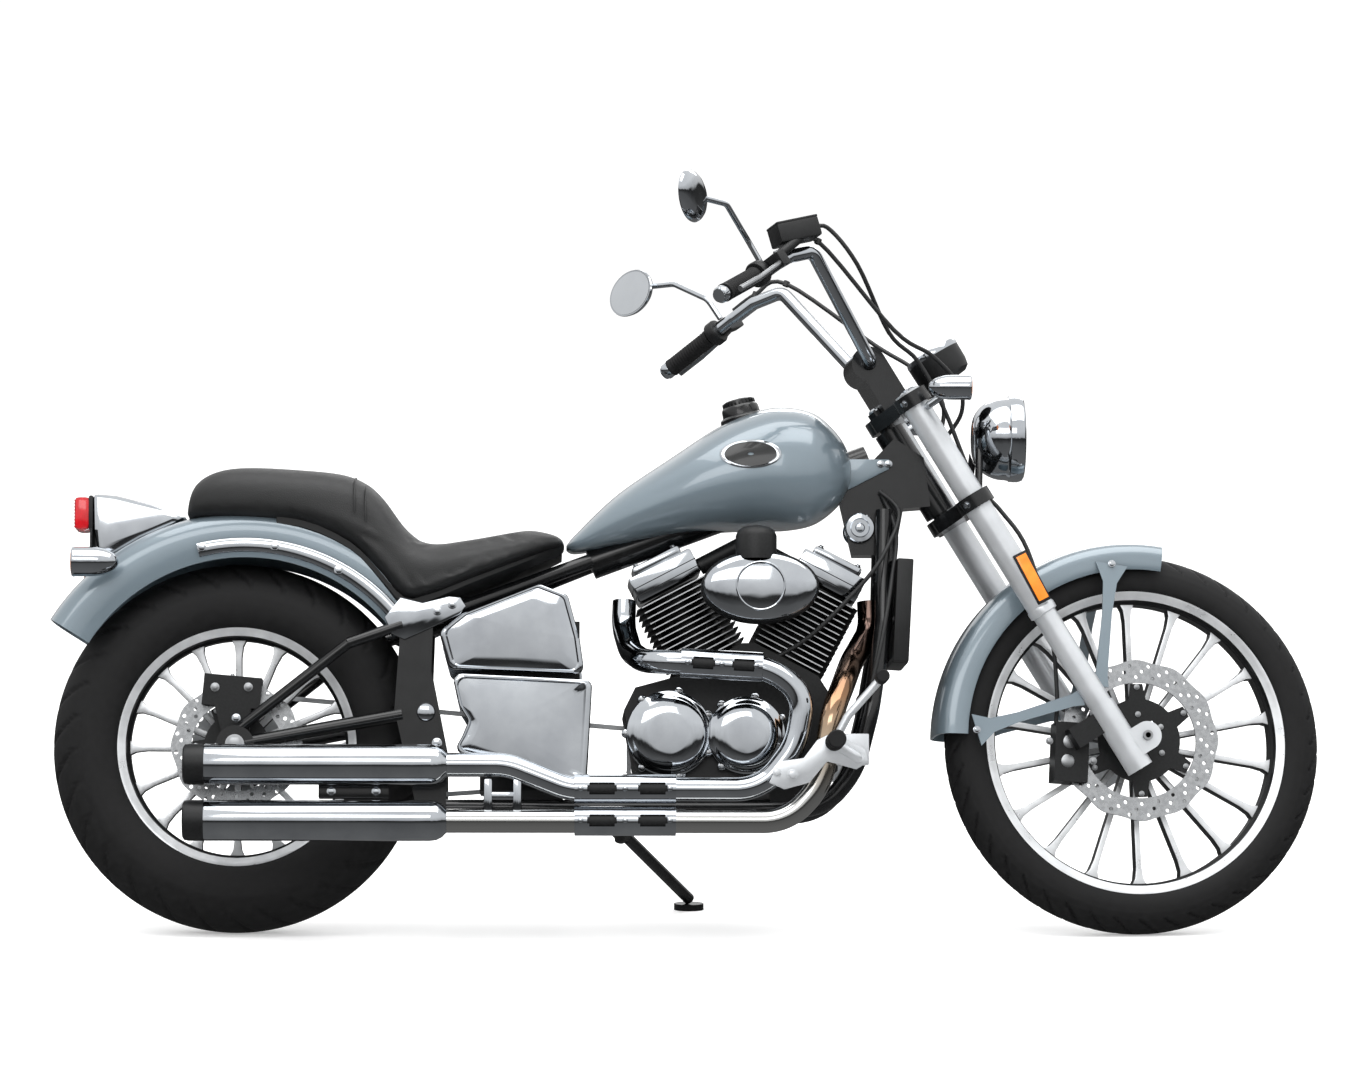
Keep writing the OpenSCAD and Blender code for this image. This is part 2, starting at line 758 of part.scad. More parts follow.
// The case has a deck square to each cylinder, lugs on the rails and a pocket for the chain.
module crankcase() {
    color("#8b8e90")
        parked()
            difference() {
                union() {
                    side_plate(concat(on([[720, 290], [760, 248], [1040, 248], [1085, 290], [1090, 400]]),
                        [deck(deck_half, 1), deck(-deck_half, 1), deck(-deck_half, -1), deck(deck_half,
                            -1)],
                        on([[720, 440], [700, 400]])), -case_half, case_half);
                    for (side = sides)
                        for (x = [790, 985])
                            translate([x + stretch, side * (case_half - 14), rail_z + 14]) cube([44, 28,
                                32], center = true);
                }
                for (side = sides)
                    rod([1040 + stretch, side * rail_y, rail_z], [rail_end, side * rail_y, rail_z],
                        tube_r + running_gap);
                translate([chain_front[0] - 60, rear_sprocket_y - chain_half - chain_gap,
                    chain_front[1] - chain_rise - 2 * chain_gap])
                    cube([60 + chain_gap, 2 * (chain_half + chain_gap), 2 * (chain_rise + 2 * chain_gap)]);
            }
}

cover_at = [[781, -1, 356, 78], [920, -1, 353, 71]];
module engine_covers() {
    color("#d6d8da")
        parked() forward() {
            for (c = cover_at)
                translate([c[0], -case_half - 15.01, c[2]]) across(c[3], 30);
            translate([785, -case_half - 8.01, 283]) across(26, 16);
            translate([930, case_half + 20.01, 355]) across(88, 40);
            translate([780, case_half + 15.01, 350]) across(60, 30);
        }
}

fin_pitch = 11;
fin_t = 3;
head_half = 64;
module finned(tilt) {
    base = deck_t;
    fins = 13;
    translate(crank)
        rotate([0, tilt, 0]) {
            translate([0, 0, base]) cylinder(r = 58, h = fins * fin_pitch + 10, $fn = 64);
            for (k = [1 : fins])
                translate([0, 0, base + k * fin_pitch]) cube([150, 156, fin_t], center = true);
            translate([0, 0, base + fins * fin_pitch + 10 + 25]) cube([2 * head_half, 140, 50],
                center = true);
            translate([0, 0, base + fins * fin_pitch + 10 + 50 + 10]) cube([100, 110, 24], center = true);
        }
}

module cylinders() {
    color("#2b2c2e")
        parked()
            for (side = sides)
                difference() {
                    intersection() {
                        finned(side * cylinder_tilt);
                        translate([crank[0] + side * 200.5, 0, 500]) cube([400, 400, 600], center = true);
                    }
                    backbone(frame_gap);
                }
}

cleaner_at = [943 + stretch, -193, 616];
intake_y = -40;
port_t = 312;
module air_cleaner() {
    color("#d6d8da")
        parked() {
            translate(cleaner_at)
                hull()
                    for (x = [-41, 41]) {
                        translate([x, 8, 0]) across(66, 50, 48);
                        translate([x, -20, 0]) across(58, 26, 48);
                    }
            translate([crank[0], -102, 640]) across(30, 132);
            rod([crank[0], intake_y, 640], [crank[0], intake_y, 712], 22);
            for (side = sides)
                rod([0, intake_y, 0] + leaned(port_t, -side * (head_half + 100), side * cylinder_tilt),
                    [0, intake_y, 0] + leaned(port_t, -side * (head_half + fit_gap),
                        side * cylinder_tilt), 16);
            translate(cleaner_at + [-7, 3, 66]) cylinder(r = 38, h = 60, $fn = 48);
        }
}

pipe_y = -206;
muffler_y = -212;
muffler_z = [295, 195];
muffler_front = 382;
rear_pipe = concat(on([[702, -30, 604], [700, -38, 556], [712, -104, 506], [734, -168, 484], [772, pipe_y,
    480],
    [960, pipe_y, 470], [1022, pipe_y, 420], [1006, pipe_y, 330], [946, pipe_y, 252], [600, pipe_y, 252]]),
    [[490, pipe_y, muffler_z[0]], [muffler_front, pipe_y, muffler_z[0]]]);
front_pipe = concat(on([[1148, -30, 604], [1150, -34, 552], [1112, -96, 488], [1092, -172, 440], [1072,
    pipe_y, 392],
    [1050, pipe_y, 260], [990, pipe_y, muffler_z[1]]]), [[muffler_front, pipe_y, muffler_z[1]]]);
module exhaust_pipes() {
    color("#b9bcbf")
        parked() {
            tube(rounded(rear_pipe, 24, 4), pipe_r, 14);
            tube(rounded(front_pipe, 30, 4), pipe_r, 14);
        }
}

module mufflers() {
    color("#c8cacc")
        parked() {
            for (z = muffler_z)
                difference() {
                    translate([-88, muffler_y, z]) rotate([0, 90, 0]) cylinder(r = muffler_r, h = 470,
                        $fn = 64);
                    translate([-90, muffler_y, z]) rotate([0, 90, 0]) cylinder(r = muffler_r - 10, h = 60,
                        $fn = 48);
                }
            translate([160, -188, 232]) cube([120, 12, 27]);
        }
}

// ---- body ----

tank_stations = [[596, 699, 709, 22], [616, 694, 732, 56], [690, 708, 802, 100], [792, 728, 872, 132],
    [876, 735, 927, tank_half - 5], [950, 738, 957, tank_half], [1001, 739, 962, tank_half],
    [1051, 750, 950, tank_half - 12], [1090, 778, 916, tank_half - 48], [1111, 808, 882, tank_half - 90],
        [1119, 836, 852, 16]];
cap_at = [921 + stretch, 0, 944];

// The tank straddles the backbone in a tunnel; its black filler cap sits in a flat on top.
module fuel_tank() {
    parked() {
        color("#7a8991")
            difference() {
                forward() lofted(tank_stations, 2.4, 28, 2, 0.42);
                hull() {
                    backbone(5);
                    translate([0, 0, -160]) backbone(5);
                }
                translate(cap_at) cylinder(r = 40, h = 60, $fn = 64);
            }
        color("#7a8991")
            for (side = sides)
                side_plate(on([[1084, 806], [1092, 868], [1188, 868], [1188, 846], [1112, 806]]),
                    side > 0 ? gusset_half + fit_gap : -gusset_half - fit_gap - ear_t,
                    side > 0 ? gusset_half + fit_gap + ear_t : -gusset_half - fit_gap);
        color("#141416")
            translate(cap_at - [0, 0, 1]) {
                cylinder(r = 38, h = 27, $fn = 64);
                cylinder(r = 28, h = 47, $fn = 48);
            }
    }
}

seat_stations = [[-95, 752, 764, 60], [-78, 742, 822, 92], [-14, 740, 850, 112], [112, 730, 846, 120],
    [203, 690, 834, 122],
    [254, 640, 798, 126], [303, 588, 734, 132], [348, 594, 708, 142], [421, 624, 714, seat_half],
    [529 + stretch, 668, 732, 132], [580 + stretch, 690, 726, 96], [594 + stretch, 696, 708, 60]];
module seat() {
    color("#18191b")
        parked()
            difference() {
                lofted(seat_stations, 3, 24, 2, 0.4);
                at_fender() rotate([90, 0, 0]) cylinder(r = rear_fender_r + 1,
                    h = 2 * rear_fender_half + 34, center = true, $fn = 128);
                for (side = sides) seat_rail(side, 1);
                backbone(1);
            }
}

battery_half = 90;
cover_y = 124;
tray_top = 254;
module battery_box() {
    color("#222325")
        parked() {
            translate([440, -battery_half, tray_top])
                cube([180, battery_half + rear_sprocket_y - chain_half - frame_gap, 308]);
            translate([470, -rail_y - 3, rail_z + tube_r + fit_gap])
                cube([120, 2 * rail_y + 6, tray_top - rail_z - tube_r - fit_gap + 0.5]);
            for (post = [[530, 520, cover_y], [590, 330, cover_y]])
                rod([post[0], -battery_half + 1, post[1]], [post[0], -post[2] + fit_gap, post[1]], 8);
            for (post = [[530, 520, cover_y], [590, 330, cover_y + 8]])
                rod([post[0], rear_sprocket_y - chain_half - frame_gap - 1, post[1]], [post[0],
                    post[2] - fit_gap, post[1]], 8);
        }
}

upper_cover = [[384, 472], [629, 462], [620, 526], [598, 606], [546, 626], [407, 571], [366, 538]];
lower_cover = [[389, 464], [643, 452], [633, 265], [570, 265], [394, 324], [408, 349], [420, 378], [402,
    407]];
module side_covers() {
    color("#d6d8da")
        parked() {
            side_plate(upper_cover, -cover_y - 26, -cover_y);
            side_plate(lower_cover, -cover_y - 32, -cover_y);
            side_plate(upper_cover, cover_y, cover_y + 26);
            side_plate(lower_cover, cover_y + 8, cover_y + 26);
        }
}

module at_fender() translate([15, 0, 345]) children();
module rear_fender() {
    color("#7a8991")
        parked()
            at_fender()
                swept_fender(rear_fender_r, rear_fender_half, 86, 38, 148);
}

strut_t = 4.5;
strut_y = rear_fender_half + 1 + strut_t / 2;
tab_t = 8;
module strut_tab(side) {
    near = arm_y + plate_half + fit_gap;
    side_plate([[290, 545], [312, 532], [380, 566], [404, 582], [398, 602], [360, 592], [300, 570]],
        side > 0 ? near : -near - tab_t, side > 0 ? near + tab_t : -near);
}

module fender_struts() {
    color("#cfd1d3")
        parked()
            for (side = sides) {
                at_fender()
                    translate([0, side * strut_y, 0])
                        rotate([90, 0, 0])
                            rotate_extrude(start = 36, angle = 68, $fn = 96)
                                translate([341, -strut_t / 2]) square([27, strut_t]);
                strut_tab(side);
            }
}

plate_hole_r = 3.25;
plate_hole_half = 50;
plate_at = [-268, 0, 700];
module tail_light() {
    color("#cfd1d3")
        parked() {
            difference() {
                side_plate([[-300, 796], [-270, 800], [-160, 778], [-80, 764], [-110, 700], [-225, 640],
                    [-262, 680], [-272, 730], [-302, 732]], -44, 44);
                at_fender() rotate([90, 0, 0]) cylinder(r = rear_fender_r + 0.5, h = 200, center = true,
                    $fn = 128);
                translate([-110, -100, 735]) cube([60, 200, 60]);
            }
            difference() {
                translate(plate_at) cube([3, 2 * plate_hole_half + 24, 66], center = true);
                for (side = sides)
                    translate(plate_at + [0, side * plate_hole_half, 0])
                        rotate([0, 90, 0])
                            cylinder(r = plate_hole_r, h = 20, center = true, $fn = 32);
            }
        }
}

module rear_signals() {
    color("#cfd1d3")
        parked()
            for (side = sides) {
                translate([-210, side * 150, 663]) rotate([0, 0, 180]) bullet(27, 87);
                rod([-232, side * 130, 663], [-232, side * (rear_fender_half + 0.5), 663], 9);
            }
}

module swingarm() {
    color("#202123")
        parked()
            for (side = sides)
                difference() {
                    union() {
                        translate([0, side * arm_y, rear_axle_z]) across(34, 2 * arm_half);
                        rod([0, side * arm_y, rear_axle_z], [300, side * arm_y, 391], 12.4);
                        rod([8, side * (arm_y + 2), rear_axle_z + 30], [202, side * (arm_y + 8), 519], 10);
                        rod([202, side * (arm_y + 8), 519], [300, side * (arm_y + 8), 553], 10.4);
                    }
                    translate([0, side * arm_y, rear_axle_z]) across(axle_r, 60);
                    pivot_plate(side);
                    strut_tab(side);
                }
}

module spacer(from, to, side) {
    translate([0, side * (from + to) / 2, 0])
        difference() {
            across(axle_r + 2, to - from);
            across(axle_r, 80);
        }
}

module rear_axle() {
    color("#9a9c9e")
        at_rear_hub() {
            hollow_axle(arm_y + 22);
            spacer(rear_hub_half + disc_t + 2 * fit_gap, arm_y - arm_half - fit_gap, -1);
            spacer(rear_sprocket_y + sprocket_t / 2 + fit_gap, arm_y - arm_half - fit_gap, 1);
        }
}

caliper_at = [-8, 434];
caliper_inner = 46;
module rear_caliper() {
    outer = arm_y - arm_half - fit_gap;
    color("#1f2021")
        parked()
            difference() {
                union() {
                    translate([caliper_at[0], -(outer + caliper_inner) / 2, caliper_at[1]])
                        rotate([0, 5, 0])
                            cube([104, outer - caliper_inner, 56], center = true);
                    side_plate([[-44, 430], [28, 430], [24, rear_axle_z + 15], [-24, rear_axle_z + 15]],
                        -outer, 6 - outer);
                }
                at_rear_axle() translate([0, rear_disc_y, 0]) across(rear_disc_r + disc_gap,
                    disc_t + 2 * disc_gap, 96);
            }
}
module at_rear_axle() translate([0, 0, rear_axle_z]) children();

peg_at = [1072, 334];
bracket_at = [1120, 304];
peg_root = -pipe_y + pipe_r + 20;
peg_l = 96;

// The bracket passes ahead of the header, then turns back to the peg.
module foot_control(side) {
    rod([bracket_at[0], side * (rail_y + tube_r + fit_gap), bracket_at[1]], [bracket_at[0],
        side * peg_root, bracket_at[1]], 10);
    rod([bracket_at[0], side * (peg_root - 4), bracket_at[1]], [peg_at[0], side * (peg_root + 4),
        peg_at[1]], 11);
    rod([peg_at[0], side * (peg_root - 6), peg_at[1]], [peg_at[0], side * (peg_root + peg_l), peg_at[1]],
        17);
    rod([peg_at[0], side * (peg_root + 4), peg_at[1]], [1156, side * (peg_root + 4), 448], 8);
    rod([1156, side * (peg_root - 8), 448], [1156, side * (peg_root + 66), 448], 12);
}

module foot_controls() {
    color("#c6c8ca")
        parked()
            forward()
                for (side = sides)
                    foot_control(side);
}

module drive_chain() {
    color("#4a4b4d")
        parked() {
            difference() {
                union() {
                    side_plate([[0, rear_axle_z + 110], chain_front + [0, chain_rise], chain_front - [0,
                        chain_rise],
                        [0, rear_axle_z - 110]], rear_sprocket_y - chain_half,
                            rear_sprocket_y + chain_half);
                    translate([0, rear_sprocket_y, rear_axle_z]) across(110, 2 * chain_half, 96);
                }
                side_plate([[0, rear_axle_z + 101], chain_front + [-20, 42], chain_front - [20, 42], [0,
                    rear_axle_z - 101]],
                    rear_sprocket_y - chain_half - 1, rear_sprocket_y + chain_half + 1);
                translate([0, rear_sprocket_y, rear_axle_z]) across(101, 20, 96);
            }
            translate([chain_front[0] - 8, rear_sprocket_y, chain_front[1]])
                across(7, 2 * (chain_half + chain_gap - fit_gap));
        }
}

// ---- side stand ----

module side_stand() {
    leg = stand_foot + [0, -6, 20];
    color("#2a2b2d")
        parked()
            difference() {
                union() {
                    rod(stand_pivot, leg, 11);
                    rod(stand_pivot - 8 * stand_axis, stand_pivot + 8 * stand_axis, 17);
                    translate(stand_foot) rotate([lean, 0, 0]) cylinder(r = 28, h = 12, $fn = 64);
                }
                rod(stand_pivot - 40 * stand_axis, stand_pivot + 40 * stand_axis,
                    stand_pin_r + running_gap);
                rod(stand_pivot + 8 * stand_axis, stand_pivot + 40 * stand_axis, 24);
                rod(stand_pivot - 40 * stand_axis, stand_pivot - 8 * stand_axis, 24);
            }
}

rear_tyre();
rear_rim();
rear_disc();
rear_sprocket();
front_tyre();
front_rim();
front_disc();
lower_yoke();
upper_yoke();
fork_tubes();
fork_sliders();
front_axle();
front_fender();
front_caliper();
headlight();
speedometer();
front_signals();
handlebar();
grips();
right_controls();
left_controls();
mirrors();
brake_hose();
frame_spine();
frame_cradle();
frame_rear();
radiator();
crankcase();
engine_covers();
cylinders();
air_cleaner();
exhaust_pipes();
mufflers();
fuel_tank();
seat();
battery_box();
side_covers();
rear_fender();
fender_struts();
tail_light();
rear_signals();
swingarm();
rear_axle();
rear_caliper();
foot_controls();
drive_chain();
side_stand();
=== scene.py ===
"""A cruiser motorcycle parked on its side stand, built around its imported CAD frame.

Every piece is made in millimetres in the axes of the upright machine or of its steered front end,
and then goes to where the joints of the frame say that those axes are.
"""
import math

import bmesh
import bpy
from mathutils import Matrix, Vector
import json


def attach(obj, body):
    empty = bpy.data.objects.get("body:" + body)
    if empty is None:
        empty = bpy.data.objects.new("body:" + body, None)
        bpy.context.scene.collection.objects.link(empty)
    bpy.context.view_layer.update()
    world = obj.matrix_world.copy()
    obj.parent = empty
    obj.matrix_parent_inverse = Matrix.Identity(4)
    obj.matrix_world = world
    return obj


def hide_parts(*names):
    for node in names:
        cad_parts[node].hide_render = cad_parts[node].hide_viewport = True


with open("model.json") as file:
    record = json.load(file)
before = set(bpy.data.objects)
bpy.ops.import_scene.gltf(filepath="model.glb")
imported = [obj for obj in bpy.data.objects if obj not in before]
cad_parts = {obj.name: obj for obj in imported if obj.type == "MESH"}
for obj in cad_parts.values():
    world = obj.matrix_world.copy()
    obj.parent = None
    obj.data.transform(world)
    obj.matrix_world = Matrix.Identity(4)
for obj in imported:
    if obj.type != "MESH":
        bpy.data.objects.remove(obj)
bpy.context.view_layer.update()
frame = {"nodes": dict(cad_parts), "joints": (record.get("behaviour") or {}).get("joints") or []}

# ---- The parked stance ----
# The machine leans on its stand, with the bars a little to the left. The rear axle gives the lean, and
# the steering axis with the front axle gives the axes of all that turns with the bars.
joints = {joint["name"]: joint for joint in frame["joints"]}


def axis_of(name):
    return Vector(joints[name]["axis"]).normalized()


def place_of(name):
    return Vector(joints[name]["pos_m"])


def axes_at(origin, ahead, left, up):
    turn = Matrix((ahead, left, up)).transposed().to_4x4()
    return Matrix.Translation(origin) @ turn @ Matrix.Scale(0.001, 4)


bike_left = axis_of("rear_wheel_spin")
bike_ahead = Vector((1, 0, 0))
bike_up = bike_ahead.cross(bike_left)
rear_hub = place_of("rear_wheel_spin")
REAR_HUB_Z = 1000 * rear_hub.z / bike_up.z
BIKE = axes_at(rear_hub - bike_up * REAR_HUB_Z / 1000, bike_ahead, bike_left, bike_up)

fork_up = axis_of("steering")
fork_left = axis_of("front_wheel_spin")
fork_ahead = fork_left.cross(fork_up)
head = place_of("steering")
front_hub = place_of("front_wheel_spin")
fork_foot = head + fork_up * (front_hub - head).dot(fork_up)
FORK = axes_at(fork_foot, fork_ahead, fork_left, fork_up)
AXLE_LEAD = 1000 * (front_hub - fork_foot).dot(fork_ahead)
FRONT_WHEEL = FORK @ Matrix.Translation((AXLE_LEAD, 0, 0))
REAR_WHEEL = BIKE @ Matrix.Translation((0, 0, REAR_HUB_Z))

# ---- Camera ----
# A long lens stands off the right side, a little ahead of the rear axle and low, and looks very
# slightly forward and up along the leaning machine.
CAMERA_AT = Vector((540, -9760, -265))
CAMERA_AIM = Vector((795, 0, 720))
FOCAL_MM = 142.8

camera = bpy.data.objects.new("camera", bpy.data.cameras.new("camera"))
bpy.context.scene.collection.objects.link(camera)
camera.data.lens = FOCAL_MM
camera.data.clip_end = 200
view_dir = (CAMERA_AIM - CAMERA_AT).normalized()
view_right = view_dir.cross(Vector((0, 0, 1))).normalized()
view_up = view_right.cross(view_dir)
camera_turn = Matrix((view_right, view_up, -view_dir)).transposed().to_4x4()
bike_turn = Matrix((bike_ahead, bike_left, bike_up)).transposed().to_4x4()
camera.matrix_world = Matrix.Translation(BIKE @ CAMERA_AT) @ bike_turn @ camera_turn
bpy.context.scene.camera = camera

# ---- Brake hose ----
# Black rubber hose over steel braid, screwed to the reservoir on the bar and to the caliper. It hangs
# down inside the right leg, and turns with the fork.
HOSE_R, BRAID_MM = 0.004, 1.43
HOSE = [(24, -190, 1094), (56, -180, 1085), (70, -170, 1000), (72, -100, 870), (96, -78, 800), (92, -72, 700),
        (70, -66, 560), (82, -70, 490), (84, -78, 400), (40, -76, 250), (-10, -74, 150), (-40, -72, 106)]


def linear(code):
    """sRGB hex, such as 7A8991, as the linear colour that shaders take."""
    parts = [int(code[k:k + 2], 16) / 255 for k in (0, 2, 4)]
    return [c / 12.92 if c <= 0.04045 else ((c + 0.055) / 1.055) ** 2.4 for c in parts] + [1.0]


def add(tree, kind, wires=None, stops=(), **settings):
    """Adds one shader node: wires maps an input's name or number to a value or to another node's output, and
    stops are the places and colours along a colour ramp."""
    made = tree.nodes.new("ShaderNode" + kind)
    for key, value in settings.items():
        setattr(made, key, value)
    for _ in stops[2:]:
        made.color_ramp.elements.new(0.5)
    for element, (place, colour) in zip(made.color_ramp.elements if stops else (), stops):
        element.position, element.color = place, colour
    for socket, source in (wires or {}).items():
        if isinstance(source, bpy.types.NodeSocket):
            tree.links.new(source, made.inputs[socket])
        else:
            made.inputs[socket].default_value = source
    return made


def surface(name, code, metallic=0.0, roughness=0.5):
    """A new material with its shader's plain numbers set, ready for its pattern."""
    made = bpy.data.materials.new(name)
    made.use_nodes = True
    shader = made.node_tree.nodes["Principled BSDF"]
    shader.inputs["Base Color"].default_value = linear(code)
    shader.inputs["Metallic"].default_value = metallic
    shader.inputs["Roughness"].default_value = roughness
    return made, made.node_tree, shader


def vary(tree, shader, patch_mm, codes, rough, bump=0.0, distance=0.0005):
    """Colour, roughness and a little height that drift together in patches of a real width."""
    where = add(tree, "TexCoord").outputs["Object"]
    pattern = add(tree, "TexNoise", {"Vector": where, "Scale": 1000 / patch_mm, "Detail": 4.0}).outputs["Fac"]
    tones = [(0.3, linear(codes[0])), (0.7, linear(codes[1]))]
    colour = add(tree, "ValToRGB", {0: pattern}, stops=tones).outputs[0]
    tree.links.new(colour, shader.inputs["Base Color"])
    spread = add(tree, "MapRange", {"Value": pattern, "To Min": rough[0], "To Max": rough[1]}).outputs[0]
    tree.links.new(spread, shader.inputs["Roughness"])
    if bump:
        relief = add(tree, "Bump", {"Height": pattern, "Strength": bump, "Distance": distance}).outputs[0]
        tree.links.new(relief, shader.inputs["Normal"])
    return where


def smooth(rows, steps):
    """Rows along a Catmull-Rom curve."""
    out = []
    for i in range(len(rows) - 1):
        a, b, c, d = rows[max(i - 1, 0)], rows[i], rows[i + 1], rows[min(i + 2, len(rows) - 1)]
        for k in range(steps):
            t = k / steps
            out.append(tuple(0.5 * (2 * q + (r - p) * t + (2 * p - 5 * q + 4 * r - s) * t * t
                                    + (3 * q - p - 3 * r + s) * t ** 3) for p, q, r, s in zip(a, b, c, d)))
    return out + [rows[-1]]


# The rubber takes the braid's weave as a faint dull grain.
HOSE_RUBBER, hose_tree, hose_shader = surface("braided_hose_rubber", "141516", roughness=0.55)
vary(hose_tree, hose_shader, BRAID_MM, ("101112", "1B1C1D"), (0.48, 0.64), bump=0.3, distance=0.0002)
hose_line = [FORK @ Vector(p) for p in smooth(HOSE, 6)]
hose_curve = bpy.data.curves.new("brake_hose", "CURVE")
hose_curve.dimensions = "3D"
hose_curve.bevel_depth = HOSE_R
hose_curve.bevel_resolution = 5
spline = hose_curve.splines.new("POLY")
spline.points.add(len(hose_line) - 1)
for point, spot in zip(spline.points, hose_line):
    point.co = (*spot, 1.0)
hose = bpy.data.objects.new("shown_brake_hose", hose_curve)
bpy.context.scene.collection.objects.link(hose)
hose_curve.materials.append(HOSE_RUBBER)
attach(hose, "steering")
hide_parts("brake_hose")

# ---- Floor and light ----
# A pale studio floor under one wide overhead softbox, with a low dark band round the room that gives
# polished metal the horizon it needs.
FLOOR_HALF, HORIZON_WANDER = 60.0, 0.16


def grey(level):
    return (level, level, level, 1)


world = bpy.data.worlds.new("studio")
bpy.context.scene.world = world
world.use_nodes = True
sky = world.node_tree
sky.nodes.clear()
direction = add(sky, "TexCoord").outputs["Generated"]
height = add(sky, "SeparateXYZ", {0: direction}).outputs["Z"]
uneven = add(sky, "TexNoise", {"Vector": direction, "Scale": 7.0, "Detail": 5.0}).outputs["Fac"]
centred = add(sky, "Math", {0: uneven, 1: 0.5}, operation="SUBTRACT").outputs[0]
ragged = add(sky, "Math", {0: centred, 1: HORIZON_WANDER}, operation="MULTIPLY").outputs[0]
level = add(sky, "Math", {0: height, 1: ragged}, operation="SUBTRACT").outputs[0]
level = add(sky, "Math", {0: level, 1: 0.5, 2: 0.5}, operation="MULTIPLY_ADD").outputs[0]
walls = [(0.0, grey(0.2)), (0.4, grey(0.15)), (0.495, grey(0.05)), (0.53, grey(0.03)), (0.56, grey(0.75)),
         (0.68, grey(1.2)), (1.0, grey(1.2))]
room = add(sky, "ValToRGB", {0: level}, stops=walls).outputs[0]
room_light = add(sky, "Background", {"Color": room, "Strength": 1.0}).outputs[0]
white = add(sky, "Background", {"Color": grey(1.0), "Strength": 1.05}).outputs[0]
seen = add(sky, "LightPath").outputs["Is Camera Ray"]
both = add(sky, "MixShader", {0: seen, 1: room_light, 2: white}).outputs[0]
add(sky, "OutputWorld", {"Surface": both})
bpy.context.scene.view_settings.view_transform = "Standard"


def softbox(name, at, aim, size, power):
    lamp = bpy.data.objects.new(name, bpy.data.lights.new(name, "AREA"))
    bpy.context.scene.collection.objects.link(lamp)
    lamp.data.shape = "RECTANGLE"
    lamp.data.size, lamp.data.size_y = size
    lamp.data.energy = power
    lamp.location = at
    lamp.rotation_euler = (Vector(aim) - Vector(at)).to_track_quat("-Z", "Y").to_euler()


softbox("overhead", (0.2, -1.0, 6.0), (0, 0, 0.4), (7, 5), 360)
softbox("right_side", (-1.5, -7.0, 4.4), (0, 0, 0.6), (5, 2.0), 90)
softbox("left_side", (1.5, 7.0, 4.4), (0, 0, 0.6), (5, 2.0), 90)

floor_mesh = bpy.data.meshes.new("floor")
floor_mesh.from_pydata([(x * FLOOR_HALF, y * FLOOR_HALF, 0) for x, y in ((-1, -1), (1, -1), (1, 1), (-1, 1))],
                       [], [(0, 1, 2, 3)])
floor = bpy.data.objects.new("floor", floor_mesh)
bpy.context.scene.collection.objects.link(floor)
floor_paint = bpy.data.materials.new("pale_studio_floor")
floor_paint.use_nodes = True
floor_shader = floor_paint.node_tree.nodes["Principled BSDF"]
floor_shader.inputs["Base Color"].default_value = linear("F4F4F4")
floor_shader.inputs["Roughness"].default_value = 0.9
floor_shader.inputs["Specular IOR Level"].default_value = 0.1
floor_shader.inputs["Emission Color"].default_value = linear("FFFFFF")
floor_shader.inputs["Emission Strength"].default_value = 0.32
floor_mesh.materials.append(floor_paint)
floor.visible_glossy = False

# ---- Tyres ----
# Black rubber moulded in a press: a round crown with slanting grooves cut by the mould, plain
# sidewalls with a few raised rings, and a faint grey bloom.
REAR_TYRE_R, REAR_TYRE_W, REAR_RIM_R, REAR_RIM_HALF = 335.5, 150, 219.6, 58
FRONT_TYRE_R, FRONT_TYRE_W, FRONT_RIM_R, FRONT_RIM_HALF = 348, 96, 281, 40
GROOVE_DEPTH, GROOVE_SWEEP = 3.6, 0.9
WALL_RING_AT, WALL_RING_HALF, WALL_RING_H = 14, 2.4, 0.9
BEAD_DEEP, BEAD_IN, WELD = 9, 6, 0.01


def tyre_rubber():
    """Pressed rubber: nearly black and dull, greyed in patches a finger wide by its bloom."""
    made, tree, shader = surface("moulded_tyre_rubber", "0E0E0F", roughness=0.7)
    vary(tree, shader, 11.1, ("0B0B0C", "131314"), (0.62, 0.8), bump=0.25, distance=0.0004)
    shader.inputs["Specular IOR Level"].default_value = 0.3
    return made


def skin(bm, rings, wrap=False, closed=True, caps=True, tone=0):
    """Joins rings of points into a surface: wrap joins the last ring to the first."""
    loops = [[bm.verts.new(p) for p in ring] for ring in rings]
    count = len(loops[0])
    spans = count if closed else count - 1
    made = []
    for first, second in zip(loops, loops[1:] + ([loops[0]] if wrap else [])):
        for k in range(spans):
            n = (k + 1) % count
            made.append(bm.faces.new((first[k], first[n], second[n], second[k])))
    if caps and closed and not wrap:
        made.append(bm.faces.new(list(reversed(loops[0]))))
        made.append(bm.faces.new(loops[-1]))
    for face in made:
        face.material_index = tone
    return made


def piece(name, bm, to, body, finishes, stands_for=(), sharp=32.0):
    """Turns a mesh drawn in millimetres into an object that rides on a body of the frame."""
    bmesh.ops.remove_doubles(bm, verts=bm.verts, dist=WELD)
    bmesh.ops.recalc_face_normals(bm, faces=bm.faces)
    limit = math.radians(sharp)
    for edge in bm.edges:
        edge.smooth = len(edge.link_faces) != 2 or edge.calc_face_angle() < limit
    for face in bm.faces:
        face.smooth = True
    mesh = bpy.data.meshes.new(name)
    bm.to_mesh(mesh)
    bm.free()
    mesh.transform(to)
    made = bpy.data.objects.new("shown_" + name if stands_for else name, mesh)
    bpy.context.scene.collection.objects.link(made)
    for finish in finishes:
        mesh.materials.append(finish)
    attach(made, body)
    if stands_for:
        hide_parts(*stands_for)
    return made


